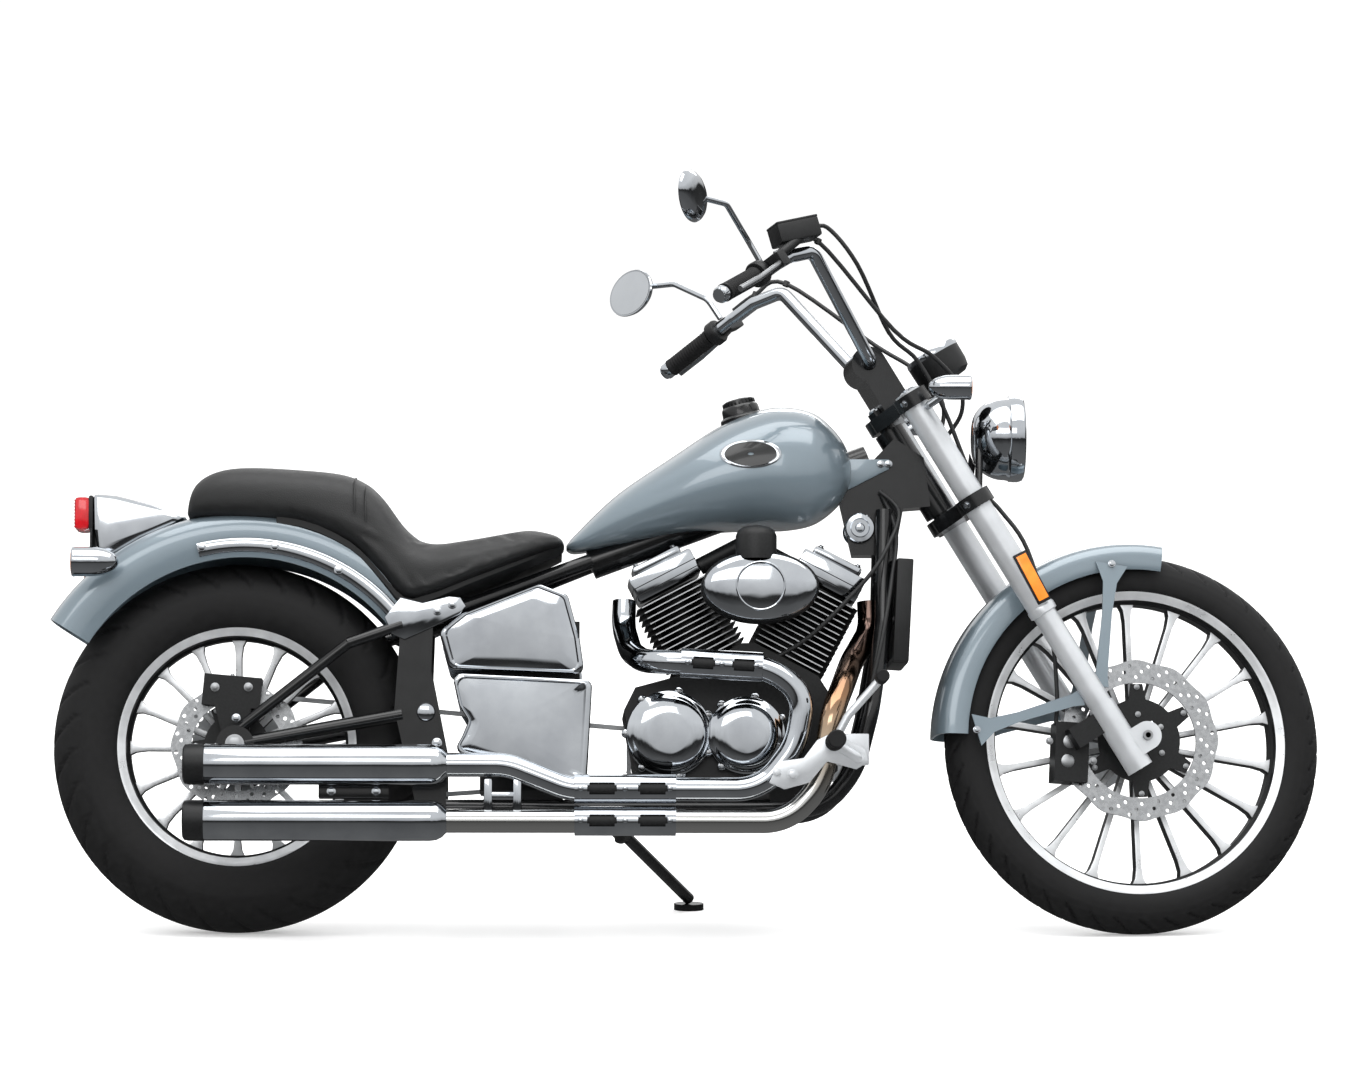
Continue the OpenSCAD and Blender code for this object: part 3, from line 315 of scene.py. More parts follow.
def tread_depth(angle, lean, pitches, reach, sweep):
    """How deep the mould cuts at an angle round the tyre and a lean across its crown, both in degrees."""
    side = 0.5 if lean < 0 else 0.0
    across = abs(lean)
    if across > reach or across < 4:
        return 0.0
    pitch = 360 / pitches
    line = (angle / pitch + side + sweep * (across / reach) ** 1.4) % 1.0
    width = 0.16 if across < reach * 0.8 else 0.1
    return 1.0 if abs(line - 0.5) < width / 2 else 0.0


def moulded_tyre(name, to, body, outer, wide, rim_r, rim_half, pitches, reach):
    """One ring of the section for each half degree; reach is how far the tread leans, in degrees."""
    crown = wide / 2
    centre = outer - crown
    edge = math.degrees(math.acos((rim_r + 1 - centre) / crown))
    stations, steps = 44, 720
    rings = []
    for i in range(steps):
        angle = 360 * i / steps
        turn = math.radians(angle)
        ring = []
        for k in range(stations + 1):
            lean = -edge + 2 * edge * k / stations
            depth = tread_depth(angle, lean, pitches, reach, GROOVE_SWEEP) * GROOVE_DEPTH
            if abs(abs(lean) - reach - WALL_RING_AT) < WALL_RING_HALF:
                depth = -WALL_RING_H
            r = crown - 1.0 - depth if abs(lean) > reach + 4 else crown - depth
            radius = centre + r * math.cos(math.radians(lean))
            across = r * math.sin(math.radians(lean))
            ring.append(Vector((radius * math.cos(turn), across, radius * math.sin(turn))))
        radius = rim_r - BEAD_DEEP
        for across in (rim_half - BEAD_IN, BEAD_IN - rim_half):
            ring.append(Vector((radius * math.cos(turn), across, radius * math.sin(turn))))
        rings.append(ring)
    bm = bmesh.new()
    skin(bm, rings, wrap=True)
    piece(name, bm, to, body, [RUBBER], [name], sharp=50)


RUBBER = tyre_rubber()
moulded_tyre("rear_tyre", REAR_WHEEL, "rear_wheel", REAR_TYRE_R, REAR_TYRE_W, REAR_RIM_R, REAR_RIM_HALF, 30,
             62)
moulded_tyre("front_tyre", FRONT_WHEEL, "front_wheel", FRONT_TYRE_R, FRONT_TYRE_W, FRONT_RIM_R,
             FRONT_RIM_HALF, 44, 58)

# ---- Wheels ----
# One-piece cast aluminium wheels painted black, with the lips and the faces of the straight spokes
# machined bright on a lathe, so that they carry fine turning marks.
REAR_HUB_R, REAR_HUB_HALF, REAR_SPOKES = 46, 62, 16
FRONT_HUB_R, FRONT_HUB_HALF, FRONT_SPOKES = 40, 58, 18
SPOKE_HALF, LIP = 15, 4.5
ACROSS = Matrix.Rotation(math.radians(-90), 4, "X")


def machined_aluminium():
    """Turned aluminium: pale and satin, with a gloss that comes and goes as the cutter's marks do."""
    made, tree, shader = surface("machined_aluminium", "D2D4D6", metallic=0.6, roughness=0.3)
    vary(tree, shader, 33.3, ("C6C8CA", "DEE0E2"), (0.22, 0.38))
    return made


def black_cast():
    """Powder coat over a sand casting: a soft black gloss, broken by the coat's dimples."""
    made, tree, shader = surface("black_coated_casting", "0F1011", roughness=0.45)
    vary(tree, shader, 3.85, ("0B0C0D", "161718"), (0.38, 0.55), bump=0.2, distance=0.0003)
    shader.inputs["Specular IOR Level"].default_value = 0.3
    return made


def revolve(bm, profile, to, steps, closed=False, tone=0):
    """Turns (radius, height) points about the z axis of the placement."""
    rings = []
    for k in range(steps):
        angle = math.radians(360 * k / steps)
        rings.append([to @ Vector((r * math.cos(angle), r * math.sin(angle), h)) for r, h in profile])
    return skin(bm, rings, wrap=True, closed=closed, tone=tone)


def bevel_sharp(bm, faces, width):
    edges = {e for f in faces for e in f.edges
             if len(e.link_faces) == 2 and e.calc_face_angle() > math.radians(30)}
    if width > 0 and edges:
        bmesh.ops.bevel(bm, geom=list(edges), offset=width, offset_type="OFFSET", segments=2,
                        profile=0.6, affect="EDGES", clamp_overlap=True)


def slab(bm, outline, low, high, to, bevel, tone=0):
    """A plate with the outline drawn in the x-y plane of the placement, from z = low to z = high."""
    part = bmesh.new()
    rings = [[Vector((x, y, z)) for x, y in outline] for z in (low, high)]
    faces = skin(part, rings, tone=tone)
    bmesh.ops.recalc_face_normals(part, faces=part.faces)
    bevel_sharp(part, faces, bevel)
    bmesh.ops.transform(part, matrix=to, verts=part.verts)
    merge_in(bm, part, tone)


def merge_in(bm, part, tone):
    for face in part.faces:
        face.material_index = tone
    swap = bpy.data.meshes.new("swap")
    part.to_mesh(swap)
    part.free()
    bm.from_mesh(swap)
    bpy.data.meshes.remove(swap)


def cast_wheel(name, to, body, rim_r, rim_half, hub_r, hub_half, spokes):
    seat = rim_r - 10
    bm = bmesh.new()
    barrel = [(rim_r, rim_half), (rim_r + 0.5, rim_half - 2), (rim_r - 1, rim_half - 5),
              (seat - 1, rim_half - 6), (seat - 2, 0), (seat - 1, 6 - rim_half), (rim_r - 1, 5 - rim_half),
              (rim_r + 0.5, 2 - rim_half), (rim_r, -rim_half), (rim_r - 6, -rim_half + 0.5),
              (rim_r - 9, -rim_half + 2), (seat - 8, -rim_half + 5), (seat - 9, -SPOKE_HALF - 4),
              (seat - 14, -SPOKE_HALF), (seat - 14, SPOKE_HALF), (seat - 9, SPOKE_HALF + 4),
              (seat - 8, rim_half - 5), (rim_r - 9, rim_half - 2), (rim_r - 6, rim_half - 0.5)]
    revolve(bm, barrel, ACROSS, steps=180, closed=True)
    for face in bm.faces:
        if abs(face.calc_center_median().y) > rim_half - LIP:
            face.material_index = 1
    hub_shape = [(10, hub_half), (hub_r - 14, hub_half), (hub_r - 10, hub_half - 4), (hub_r - 10, 30),
                 (hub_r, 24), (hub_r + 1, 0), (hub_r, -24), (hub_r - 10, -30), (hub_r - 10, 4 - hub_half),
                 (hub_r - 14, -hub_half), (10, -hub_half)]
    revolve(bm, hub_shape, ACROSS, steps=64, closed=True)
    root = 0.7 * 2 * math.pi * hub_r / spokes
    outline = [(hub_r - 3, -root / 2), (seat - 44, -5.5), (seat - 24, -8), (seat - 10, -15),
               (seat - 10, 15), (seat - 24, 8), (seat - 44, 5.5), (hub_r - 3, root / 2)]
    for k in range(spokes):
        turn = Matrix.Rotation(2 * math.pi * k / spokes, 4, "Y") @ ACROSS
        slab(bm, outline, -SPOKE_HALF, SPOKE_HALF, turn, bevel=2.0)
    bmesh.ops.recalc_face_normals(bm, faces=bm.faces)
    for face in bm.faces:
        centre = face.calc_center_median()
        radius = math.hypot(centre.x, centre.z)
        if hub_r < radius < seat - 9 and abs(abs(centre.y) - SPOKE_HALF) < 1.6 and abs(face.normal.y) > 0.3:
            face.material_index = 1
    piece(name, bm, to, body, [BLACK_CAST, MACHINED], [name])


MACHINED = machined_aluminium()
BLACK_CAST = black_cast()
cast_wheel("rear_rim", REAR_WHEEL, "rear_wheel", REAR_RIM_R, REAR_RIM_HALF, REAR_HUB_R, REAR_HUB_HALF,
           REAR_SPOKES)
cast_wheel("front_rim", FRONT_WHEEL, "front_wheel", FRONT_RIM_R, FRONT_RIM_HALF, FRONT_HUB_R, FRONT_HUB_HALF,
           FRONT_SPOKES)

# ---- Fork ----
# Raked telescopic fork: satin silver tubes clamped in two black forged yokes, cast sliders with pinched
# lugs at the axle, and hex bolts at each clamp.
FORK_HALF, YOKE_OFFSET, FORK_R, SLIDER_R = 110, 39, 25, 22
LOWER_YOKE, UPPER_YOKE, YOKE_H, COLLAR = 512, 728, 26, 300
SIDES = (-1, 1)


def plated(name, code, rough, low, high, metallic=1.0):
    """Polished or satin metal whose gloss drifts a little, as hand buffing leaves it."""
    made, tree, shader = surface(name, code, metallic=metallic, roughness=rough)
    vary(tree, shader, 71.4, (low, high), (rough * 0.7, rough * 1.4))
    return made


def enamel(name, code, low, high, rough, clear):
    """Sprayed or moulded colour: one even tone whose gloss hardly moves, wet-looking under a clear coat."""
    made, tree, shader = surface(name, code, roughness=rough)
    vary(tree, shader, 25.0, (low, high), (rough * 0.85, rough * 1.15))
    shader.inputs["Coat Weight"].default_value = clear
    shader.inputs["Specular IOR Level"].default_value = 0.35
    shader.inputs["Coat Roughness"].default_value = 0.05
    return made


def coat(finish, *nodes):
    """Gives CAD pieces that keep their own shape a finish."""
    for node in nodes:
        part = frame["nodes"][node]
        if not part.material_slots:
            part.data.materials.append(finish)
        for slot in part.material_slots:
            slot.link = "OBJECT"
            slot.material = finish


def facing(at, way):
    """A placement whose z axis looks along a direction."""
    return Matrix.Translation(at) @ Vector(way).to_track_quat("Z", "Y").to_matrix().to_4x4()


def bolt(bm, at, way, size, tone=0, head=5.0):
    """A hex head on a round washer."""
    to = facing(at, way)
    revolve(bm, [(0, 0), (size * 1.15, 0), (size * 1.15, 1.2), (size * 0.9, 1.5), (0, 1.5)], to, 24,
            tone=tone)
    hexagon = [(size * 0.86 * math.cos(math.pi * k / 3), size * 0.86 * math.sin(math.pi * k / 3))
               for k in range(6)]
    slab(bm, hexagon, 1.3, 1.3 + head, to, bevel=0.5, tone=tone)


# Chrome mirrors the room with a faint haze, the drawn fork tubes are a pale satin, zinc on bolts is a duller
# grey, and sprayed enamel is a deep black with a soft shine.
CHROME = plated("chrome_plated_steel", "B4B8BC", 0.07, "AAAEB3", "BCC0C4")
FORK_SILVER = plated("satin_silver_fork_tube", "C4C7CA", 0.32, "BCBFC2", "CCCFD2", 0.6)
STEEL = plated("zinc_plated_steel", "9A9C9E", 0.34, "8C8E90", "A6A8AA")
BLACK_ENAMEL = enamel("gloss_black_enamel", "0C0D0E", "0A0B0C", "111213", 0.25, 0.25)

coat(BLACK_ENAMEL, "lower_yoke", "upper_yoke")
coat(FORK_SILVER, "fork_tubes", "fork_sliders")
coat(STEEL, "front_axle", "rear_axle")
coat(BLACK_CAST, "front_caliper")
fork_trim = bmesh.new()
for side in SIDES:
    leg = Vector((YOKE_OFFSET, side * FORK_HALF, 0))
    revolve(fork_trim, [(SLIDER_R, COLLAR - 16), (FORK_R + 1.5, COLLAR - 14), (FORK_R + 2, COLLAR - 3),
                        (FORK_R + 1, COLLAR), (FORK_R, COLLAR)], Matrix.Translation(leg), 48, tone=0)
    revolve(fork_trim, [(0, UPPER_YOKE + 36), (14, UPPER_YOKE + 36), (18, UPPER_YOKE + 34),
                        (FORK_R - 3, UPPER_YOKE + 30)],
            Matrix.Translation(leg), 40, tone=1)
    for s in (LOWER_YOKE + YOKE_H / 2, UPPER_YOKE + YOKE_H / 2):
        bolt(fork_trim, leg + Vector((-22, side * 24, s)), (-0.75, side * 0.65, 0), 6.5, tone=1)
    for s in (-14.3, 14.3):
        bolt(fork_trim, (AXLE_LEAD + 20, side * FORK_HALF, s), (1, 0, 0), 5.5, tone=1)
revolve(fork_trim,
        [(0, UPPER_YOKE + 44), (12, UPPER_YOKE + 44), (15, UPPER_YOKE + 41), (15, UPPER_YOKE + 38)],
        Matrix(), 40, tone=1)
piece("fork_bolts", fork_trim, FORK, "steering", [FORK_SILVER, CHROME])

# ---- Reflector ----
# An amber prism block moulded in acrylic, in a black plastic frame that is screwed to the outside of each
# fork leg.


def turned(at, degrees, axis):
    return Matrix.Translation(at) @ Matrix.Rotation(math.radians(degrees), 4, axis)


def block(bm, to, size, bevel, tone=0):
    x, y, z = (s / 2 for s in size)
    slab(bm, [(-x, -y), (x, -y), (x, y), (-x, y)], -z, z, to, bevel, tone)


# Moulded plastic is black with a low even sheen, and the prisms glow amber under a smooth skin.
PLASTIC = enamel("moulded_black_plastic", "101112", "0D0E0F", "151617", 0.48, 0.0)
AMBER = enamel("amber_prism_plastic", "E8801C", "E2761A", "F08C28", 0.18, 0.4)
reflector = bmesh.new()
for side in SIDES:
    at = turned((47, side * (FORK_HALF + FORK_R + 5), 352), 4, "Y")
    block(reflector, at, (26, 9, 100), 2.0, 0)
    block(reflector, at @ Matrix.Translation((0, side * 3, 0)), (20, 6, 90), 1.0, 1)
piece("fork_reflectors", reflector, FORK, "steering", [PLASTIC, AMBER])

# ---- Front brake ----
# A ground steel disc with a scalloped edge, drilled right through and riveted to a black carrier; the
# caliper is a two-bolt black casting behind the leg.
DISC_T, WAVE_H, DRILLED_R = 5, 2.2, 3.6


def ground_steel():
    """Ground steel: bright, but scratched by the stone and the pads, so that its highlights smear."""
    made, tree, shader = surface("ground_disc_steel", "A8AAAC", metallic=1.0, roughness=0.24)
    vary(tree, shader, 8.33, ("9A9C9E", "B4B6B8"), (0.2, 0.34))
    return made


def pierced(bm, outline, holes, low, high, to, tone=0):
    """A flat plate with holes cut through it."""
    part = bmesh.new()
    loops = []
    for loop in [outline] + holes:
        made = [part.verts.new((x, y, 0)) for x, y in loop]
        loops += [part.edges.new((a, b)) for a, b in zip(made, made[1:] + made[:1])]
    bmesh.ops.triangle_fill(part, edges=loops, use_beauty=True, use_dissolve=False)
    for face in list(part.faces):
        if face.normal.z < 0:
            face.normal_flip()
    top = bmesh.ops.extrude_face_region(part, geom=list(part.faces))
    moved = [v for v in top["geom"] if isinstance(v, bmesh.types.BMVert)]
    bmesh.ops.translate(part, verts=moved, vec=(0, 0, high - low))
    bmesh.ops.transform(part, matrix=to @ Matrix.Translation((0, 0, low)), verts=part.verts)
    merge_in(bm, part, tone)


def turns(steps):
    return [2 * math.pi * k / steps for k in range(steps)]


def circle(x, y, r, steps):
    return [(x + r * math.cos(t), y + r * math.sin(t)) for t in turns(steps)]


def wave_disc(name, to, body, outer, inner, y, waves):
    bm = bmesh.new()
    at = Matrix.Translation((0, y, 0)) @ ACROSS
    rim = [outer - WAVE_H + WAVE_H * math.cos(waves * t) for t in turns(240)]
    edge = [(r * math.cos(t), r * math.sin(t)) for r, t in zip(rim, turns(240))]
    holes = [circle(0, 0, inner, 96)]
    for k in range(waves * 2):
        for j, share in enumerate((0.25, 0.5, 0.75)):
            turn = 2 * math.pi * (k + j / 3) / (waves * 2)
            r = inner + (outer - inner) * share
            holes.append(circle(r * math.cos(turn), r * math.sin(turn), DRILLED_R, 10))
    pierced(bm, edge, holes, -DISC_T / 2, DISC_T / 2, at, 0)
    arms = []
    for k in range(60):
        turn = 2 * math.pi * k / 60
        r = inner - 2 if k % 10 in (0, 1, 9) else inner * 0.72
        arms.append((r * math.cos(turn), r * math.sin(turn)))
    pierced(bm, arms, [circle(0, 0, 13, 32)], -DISC_T / 2, DISC_T / 2, at, 1)
    for turn in turns(6):
        for r in (inner * 0.45, inner - 8):
            side = -1 if y < 0 else 1
            bolt(bm, (r * math.cos(turn), y + side * DISC_T / 2, r * math.sin(turn)), (0, side, 0), 4.6,
                 tone=2, head=2)
    piece(name, bm, to, body, [GROUND, BLACK_CAST, STEEL], [name])


GROUND = ground_steel()
wave_disc("front_disc", FRONT_WHEEL, "front_wheel", 148, 106, -60.5, 12)
wave_disc("rear_disc", REAR_WHEEL, "rear_wheel", 119, 82, -64.5, 10)
caliper_trim = bmesh.new()
for u, s in ((-72, 84), (-22, 12)):
    bolt(caliper_trim, (u, -86, s), (0, -1, 0), 6.0)
for u, s in ((-62, 36), (-40, 64)):
    revolve(caliper_trim, [(0, 2.5), (9, 2.5), (12, 1), (12, -1)], facing((u, -85, s), (0, -1, 0)), 28)
piece("caliper_bolts", caliper_trim, FORK, "steering", [STEEL])

# ---- Front fender ----
# Pressed steel with a rounded crown and a rolled lip, painted blue-grey under clear lacquer, on two
# flat painted stays a side.
FENDER_R, FENDER_HALF, FENDER_T, SHOULDER = 370, 62, 4, 40
FLAKE_MM, DRIFT_MM = 0.417, 333


def lacquer():
    """Metallic paint under clear lacquer: a fine glint in a soft blue-grey, with a deep wet gloss over it.
    Real flakes are a tenth as wide; these are as coarse as they need to be to show from near."""
    made, tree, shader = surface("blue_grey_lacquer", "66727A", metallic=0.3, roughness=0.3)
    where = add(tree, "TexCoord").outputs["Object"]
    flake = add(tree, "TexVoronoi", {"Vector": where, "Scale": 1000 / FLAKE_MM}).outputs["Distance"]
    drift = add(tree, "TexNoise", {"Vector": where, "Scale": 1000 / DRIFT_MM, "Detail": 2.0}).outputs["Fac"]
    both = add(tree, "Math", {0: flake, 1: 0.3, 2: drift}, operation="MULTIPLY_ADD").outputs[0]
    tones = [(0.3, linear("606D75")), (0.85, linear("6D7A82"))]
    colour = add(tree, "ValToRGB", {0: both}, stops=tones).outputs[0]
    tree.links.new(colour, shader.inputs["Base Color"])
    shader.inputs["Coat Weight"].default_value = 1.0
    shader.inputs["Coat Roughness"].default_value = 0.03
    return made


def fender_profile(crown, half, skirt, thick):
    """(radius, across) round the pressed section, outside then inside, with its rolled lips."""
    outer = [(crown - skirt, -half)]
    for k in range(0, 19):
        angle = math.radians(180 - 10 * k)
        c, s = math.cos(angle), math.sin(angle)
        outer.append((crown - SHOULDER + SHOULDER * abs(s) ** 0.75,
                      half * (1 if c > 0 else -1) * abs(c) ** 0.5))
    outer.append((crown - skirt, half))
    inner = [(r - thick * (1 if r > crown - SHOULDER + 1 else 0), y * (half - thick) / half)
             for r, y in reversed(outer)]
    lip = [(crown - skirt - 2, half - 1.0), (crown - skirt - 2, half - thick - 1)]
    return outer + lip + inner + [(crown - skirt - 2, thick + 1 - half), (crown - skirt - 2, 1.0 - half)]


def fender_shell(bm, centre, crown, half, skirt, thick, start, end):
    """The section carried round the wheel from one angle to another, in degrees up from straight ahead."""
    profile, steps = fender_profile(crown, half, skirt, thick), 96
    rings = []
    for k in range(steps + 1):
        angle = math.radians(start + (end - start) * k / steps)
        rings.append([centre + Vector((r * math.cos(angle), y, r * math.sin(angle))) for r, y in profile])
    skin(bm, rings)


PAINT = lacquer()
fender = bmesh.new()
fender_shell(fender, Vector((AXLE_LEAD, 0, 0)), FENDER_R, FENDER_HALF, 52, FENDER_T, 50, 147)
for side in SIDES:
    for u, s in ((AXLE_LEAD + 130, 300), (AXLE_LEAD - 250, 170)):
        root = Vector((YOKE_OFFSET + (20 if u > YOKE_OFFSET else -20), side * (FORK_HALF - 10), 120))
        foot = Vector((u, side * (FENDER_HALF + 3), s))
        along = (foot - root).normalized()
        wide = Vector((along.z, 0, -along.x)).normalized()
        rings = []
        for share, half in ((0.0, 15), (0.1, 11), (0.6, 9), (0.85, 13), (1.0, 30)):
            at = root.lerp(foot, share)
            rings.append([at + wide * half * x + Vector((0, side * y, 0))
                          for x, y in ((-1, 0), (-1, 4), (1, 4), (1, 0))])
        skin(fender, rings)
        bolt(fender, (u, side * (FENDER_HALF + 8), s), (0, side, 0), 6, tone=1)
piece("front_fender", fender, FORK, "steering", [PAINT, CHROME], ["front_fender"], sharp=40)

# ---- Headlight ----
# A deep steel bucket, spun and chromed, hung between the yokes. A rolled rim holds a vacuum-plated bowl
# and a domed glass.
LAMP_AT, LAMP_R, GLASS_R = Vector((177, 0, 602)), 80, 69
lamp_way = (FORK.to_3x3().inverted() @ Vector((1, 0, 0))).normalized()
LAMP = facing(LAMP_AT, lamp_way)
lamp = bmesh.new()
bucket = [(0, -60), (22, -58)]
bucket += [(22 + 54 * math.sin(math.radians(a)), -58 + 60 * (1 - math.cos(math.radians(a))))
           for a in range(6, 91, 6)]
rim = [(LAMP_R - 3, 8), (LAMP_R - 1, 10), (LAMP_R - 0.4, 18), (LAMP_R - 0.4, 26), (LAMP_R - 3, 34),
       (LAMP_R - 8, 37), (GLASS_R, 35), (GLASS_R, 26)]
revolve(lamp, bucket + rim, LAMP, 96)
bowl = [(GLASS_R * math.cos(math.radians(a)), 27 - 50 * math.sin(math.radians(a))) for a in range(8, 90, 8)]
revolve(lamp, [(GLASS_R, 27)] + bowl + [(0, -23)], LAMP, 96, tone=1)
revolve(lamp, [(0, 6), (13, 5), (15, -2), (15, -22)], LAMP, 32, tone=0)
# Vacuum plating is brighter and smoother than chrome.
REFLECTOR = plated("vacuum_plated_reflector", "D8DADC", 0.05, "D2D4D6", "E0E2E4")
piece("headlight", lamp, FORK, "steering", [CHROME, REFLECTOR], ["headlight"], sharp=40)
# Clear glass, with a low index because the thin dome is drawn as one skin.
GLASS, _, glass_shader = surface("pressed_lamp_glass", "F4F8FA", roughness=0.03)
glass_shader.inputs["Transmission Weight"].default_value = 1.0
glass_shader.inputs["IOR"].default_value = 1.1
lens = bmesh.new()
dome = [(GLASS_R * math.cos(math.radians(a)), 30 + 12 * math.sin(math.radians(a))) for a in range(10, 90, 10)]
revolve(lens, [(GLASS_R + 0.5, 30)] + dome + [(0, 42)], LAMP, 72)
piece("headlight_glass", lens, FORK, "steering", [GLASS], sharp=60)

# ---- Speedometer ----
# A black moulded can with a chromed bezel, on an arm from the upper yoke. The dial under its glass is
# plain, with printed ticks and a needle.
GAUGE_AT, DIAL_R, DIAL_Z = Vector((146, 0, 748)), 45, 55
FIRST_TICK, DIAL_SWEEP, TICKS = 225, 270, 24
gauge = bmesh.new()
revolve(gauge, [(0, 0), (40, 0), (48, 6), (51, 20), (51.5, 52), (51.5, 56), (50, 60), (46, 61.5), (44, 58)],
        Matrix.Translation(GAUGE_AT), 72, tone=0)
revolve(gauge, [(51.6, 50), (51.9, 55), (50, 60.5), (46, 61.9), (44, 59)], Matrix.Translation(GAUGE_AT), 72,
        tone=1)
revolve(gauge, [(0, DIAL_Z), (DIAL_R, DIAL_Z)], Matrix.Translation(GAUGE_AT), 48, tone=2)
for k in range(TICKS + 1):
    turn = Matrix.Rotation(math.radians(FIRST_TICK - DIAL_SWEEP * k / TICKS), 4, "Z")
    reach = 8 if k % 4 == 0 else 4
    at = Matrix.Translation(GAUGE_AT + Vector((0, 0, DIAL_Z + 0.4))) @ turn
    block(gauge, at @ Matrix.Translation((DIAL_R - 3 - reach / 2, 0, 0)), (reach, 1.2, 0.4), 0, 3)
needle = turned(GAUGE_AT + Vector((0, 0, DIAL_Z + 1.4)), FIRST_TICK, "Z")
block(gauge, needle @ Matrix.Translation((15, 0, 0)), (34, 2, 0.6), 0, 4)
block(gauge, Matrix.Translation((98, 0, UPPER_YOKE + 13)), (68, 26, 12), 2, 0)
# Printed inks: a flat black dial, off-white marks and a red needle, all nearly without gloss.
DIAL = enamel("printed_black_dial", "0C0D0E", "0B0C0D", "101112", 0.5, 0.0)
MARKS = enamel("white_dial_ink", "E6E6E2", "E0E0DC", "ECECE8", 0.5, 0.0)
NEEDLE = enamel("red_needle_ink", "C8341C", "C0301A", "D03A20", 0.4, 0.0)
piece("speedometer", gauge, FORK, "steering", [PLASTIC, CHROME, DIAL, MARKS, NEEDLE],
      ["speedometer"])

# ---- Front signals ----
# Chromed die-cast bullets on short steel stems clamped to the fork tubes, each with an amber lens facing
# ahead.
SIGNAL_Y = 172


def sweep(bm, path, radius, steps, tone=0):
    """A round tube along a path; radius may be a list with one value a point."""
    path = [Vector(p) for p in path]
    sizes = radius if isinstance(radius, list) else [radius] * len(path)
    ways = [(path[min(k + 1, len(path) - 1)] - path[max(k - 1, 0)]).normalized() for k in range(len(path))]
    side = ways[0].cross(Vector((0, 0, 1)) if abs(ways[0].z) < 0.9 else Vector((0, 1, 0))).normalized()
    rings = []
    for point, way, size in zip(path, ways, sizes):
        side = (side - way * side.dot(way)).normalized()
        other = way.cross(side)
        rings.append([point + size * (math.cos(2 * math.pi * k / steps) * side
                                      + math.sin(2 * math.pi * k / steps) * other) for k in range(steps)])
    return skin(bm, rings, tone=tone)


def bullet(bm, to, r, length):
    """A rounded nose that widens to a rim, with the lens in its open end."""
    nose = [(r * math.sin(math.radians(a)), 1.9 * r * (1 - math.cos(math.radians(a))))
            for a in range(0, 91, 9)]
    revolve(bm, nose + [(r, length - 8), (r + 0.6, length - 5), (r - 1, length - 2)], to, 48)
    revolve(bm, [(r - 1, length - 2), (r * 0.7, length - 0.5), (0, length)], to, 48, tone=1)


signals = bmesh.new()
for side in SIDES:
    at = Vector((96, side * SIGNAL_Y, 722)) - lamp_way * 40
    bullet(signals, facing(at, lamp_way), 22.6, 80)
    root = Vector((YOKE_OFFSET + 14, side * (FORK_HALF + 24), 716))
    sweep(signals, [root, (YOKE_OFFSET + 14, side * (FORK_HALF + 36), 716),
                    (94, side * (SIGNAL_Y - 10), 718)], 7, 20, 0)
piece("front_signals", signals, FORK, "steering", [CHROME, AMBER], ["front_signals"], sharp=40)

# ---- Handlebar and grips ----
# One steel tube, bent up from the clamp, swept back and chromed. The grips are ribbed black rubber pushed
# over its ends, with chromed caps.
BAR_R, BAR_HALF, GRIP_L = 12.5, 345, 122
CLAMP = (24, 845)


def rounded(points, radius, steps):
    """A route with each corner turned into an arc of tube."""
    points = [Vector(p) for p in points]
    out = [points[0]]
    for a, p, b in zip(points, points[1:], points[2:]):
        u, v = (a - p).normalized(), (b - p).normalized()
        half = u.angle(v) / 2
        if half > math.radians(89):
            out.append(p)
            continue
        back = min(radius / math.tan(half), 0.48 * min((a - p).length, (b - p).length))
        r = back * math.tan(half)
        centre = p + (u + v).normalized() * r / math.sin(half)
        start, end = p + u * back - centre, p + v * back - centre
        out += [centre + start.slerp(end, k / steps).normalized() * r for k in range(steps + 1)]
    return out + [points[-1]]


def mirrored(points):
    return [Vector((p[0], -p[1], p[2])) for p in points]


grip_in, grip_out = Vector((-82, BAR_HALF - 120, 1070)), Vector((-224, BAR_HALF, 1059))
bend, turn_in = Vector((11, BAR_HALF - 173, 1062)), Vector((-40, BAR_HALF - 147, 1073))
half_bar = rounded([(CLAMP[0], 0, CLAMP[1]), (CLAMP[0], 62, CLAMP[1]), bend, turn_in, grip_in, grip_out],
                   24, 8)
bar = bmesh.new()
sweep(bar, list(reversed(mirrored(half_bar)))[:-1] + half_bar, BAR_R, 32)
piece("handlebar", bar, FORK, "steering", [CHROME], ["handlebar"], sharp=60)
grip_way = (grip_out - grip_in).normalized()
grip_front = Vector((grip_way.y, -grip_way.x, 0)).normalized()
BAR_L = (grip_out - grip_in).length


def on_grip(d):
    return grip_in + grip_way * d


def flip(p, side):
    return Vector((p[0], p[1] * side, p[2]))


grips = bmesh.new()
for side in SIDES:
    start = on_grip(BAR_L - GRIP_L - 2)
    ribs = [(13, 0), (17, 0.5), (17, 5)]
    for k in range(15):
        ribs += [(16.6, 8 + 6 * k), (15.6, 9.5 + 6 * k), (15.6, 11 + 6 * k), (16.6, 12.5 + 6 * k)]
    to = facing(flip(start, side), flip(grip_way, side))
    revolve(grips, ribs + [(17, 104), (0, 105)], to, 36)
    revolve(grips, [(14, 104), (15.4, 106), (15.4, 118), (13, 121.4), (0, 122)], to, 36, tone=1)
# Grip rubber is the dullest black on the machine.
GRIP_RUBBER = enamel("moulded_grip_rubber", "0E0E0F", "0B0B0C", "131314", 0.75, 0.0)
piece("grips", grips, FORK, "steering", [GRIP_RUBBER, CHROME], ["grips"], sharp=40)

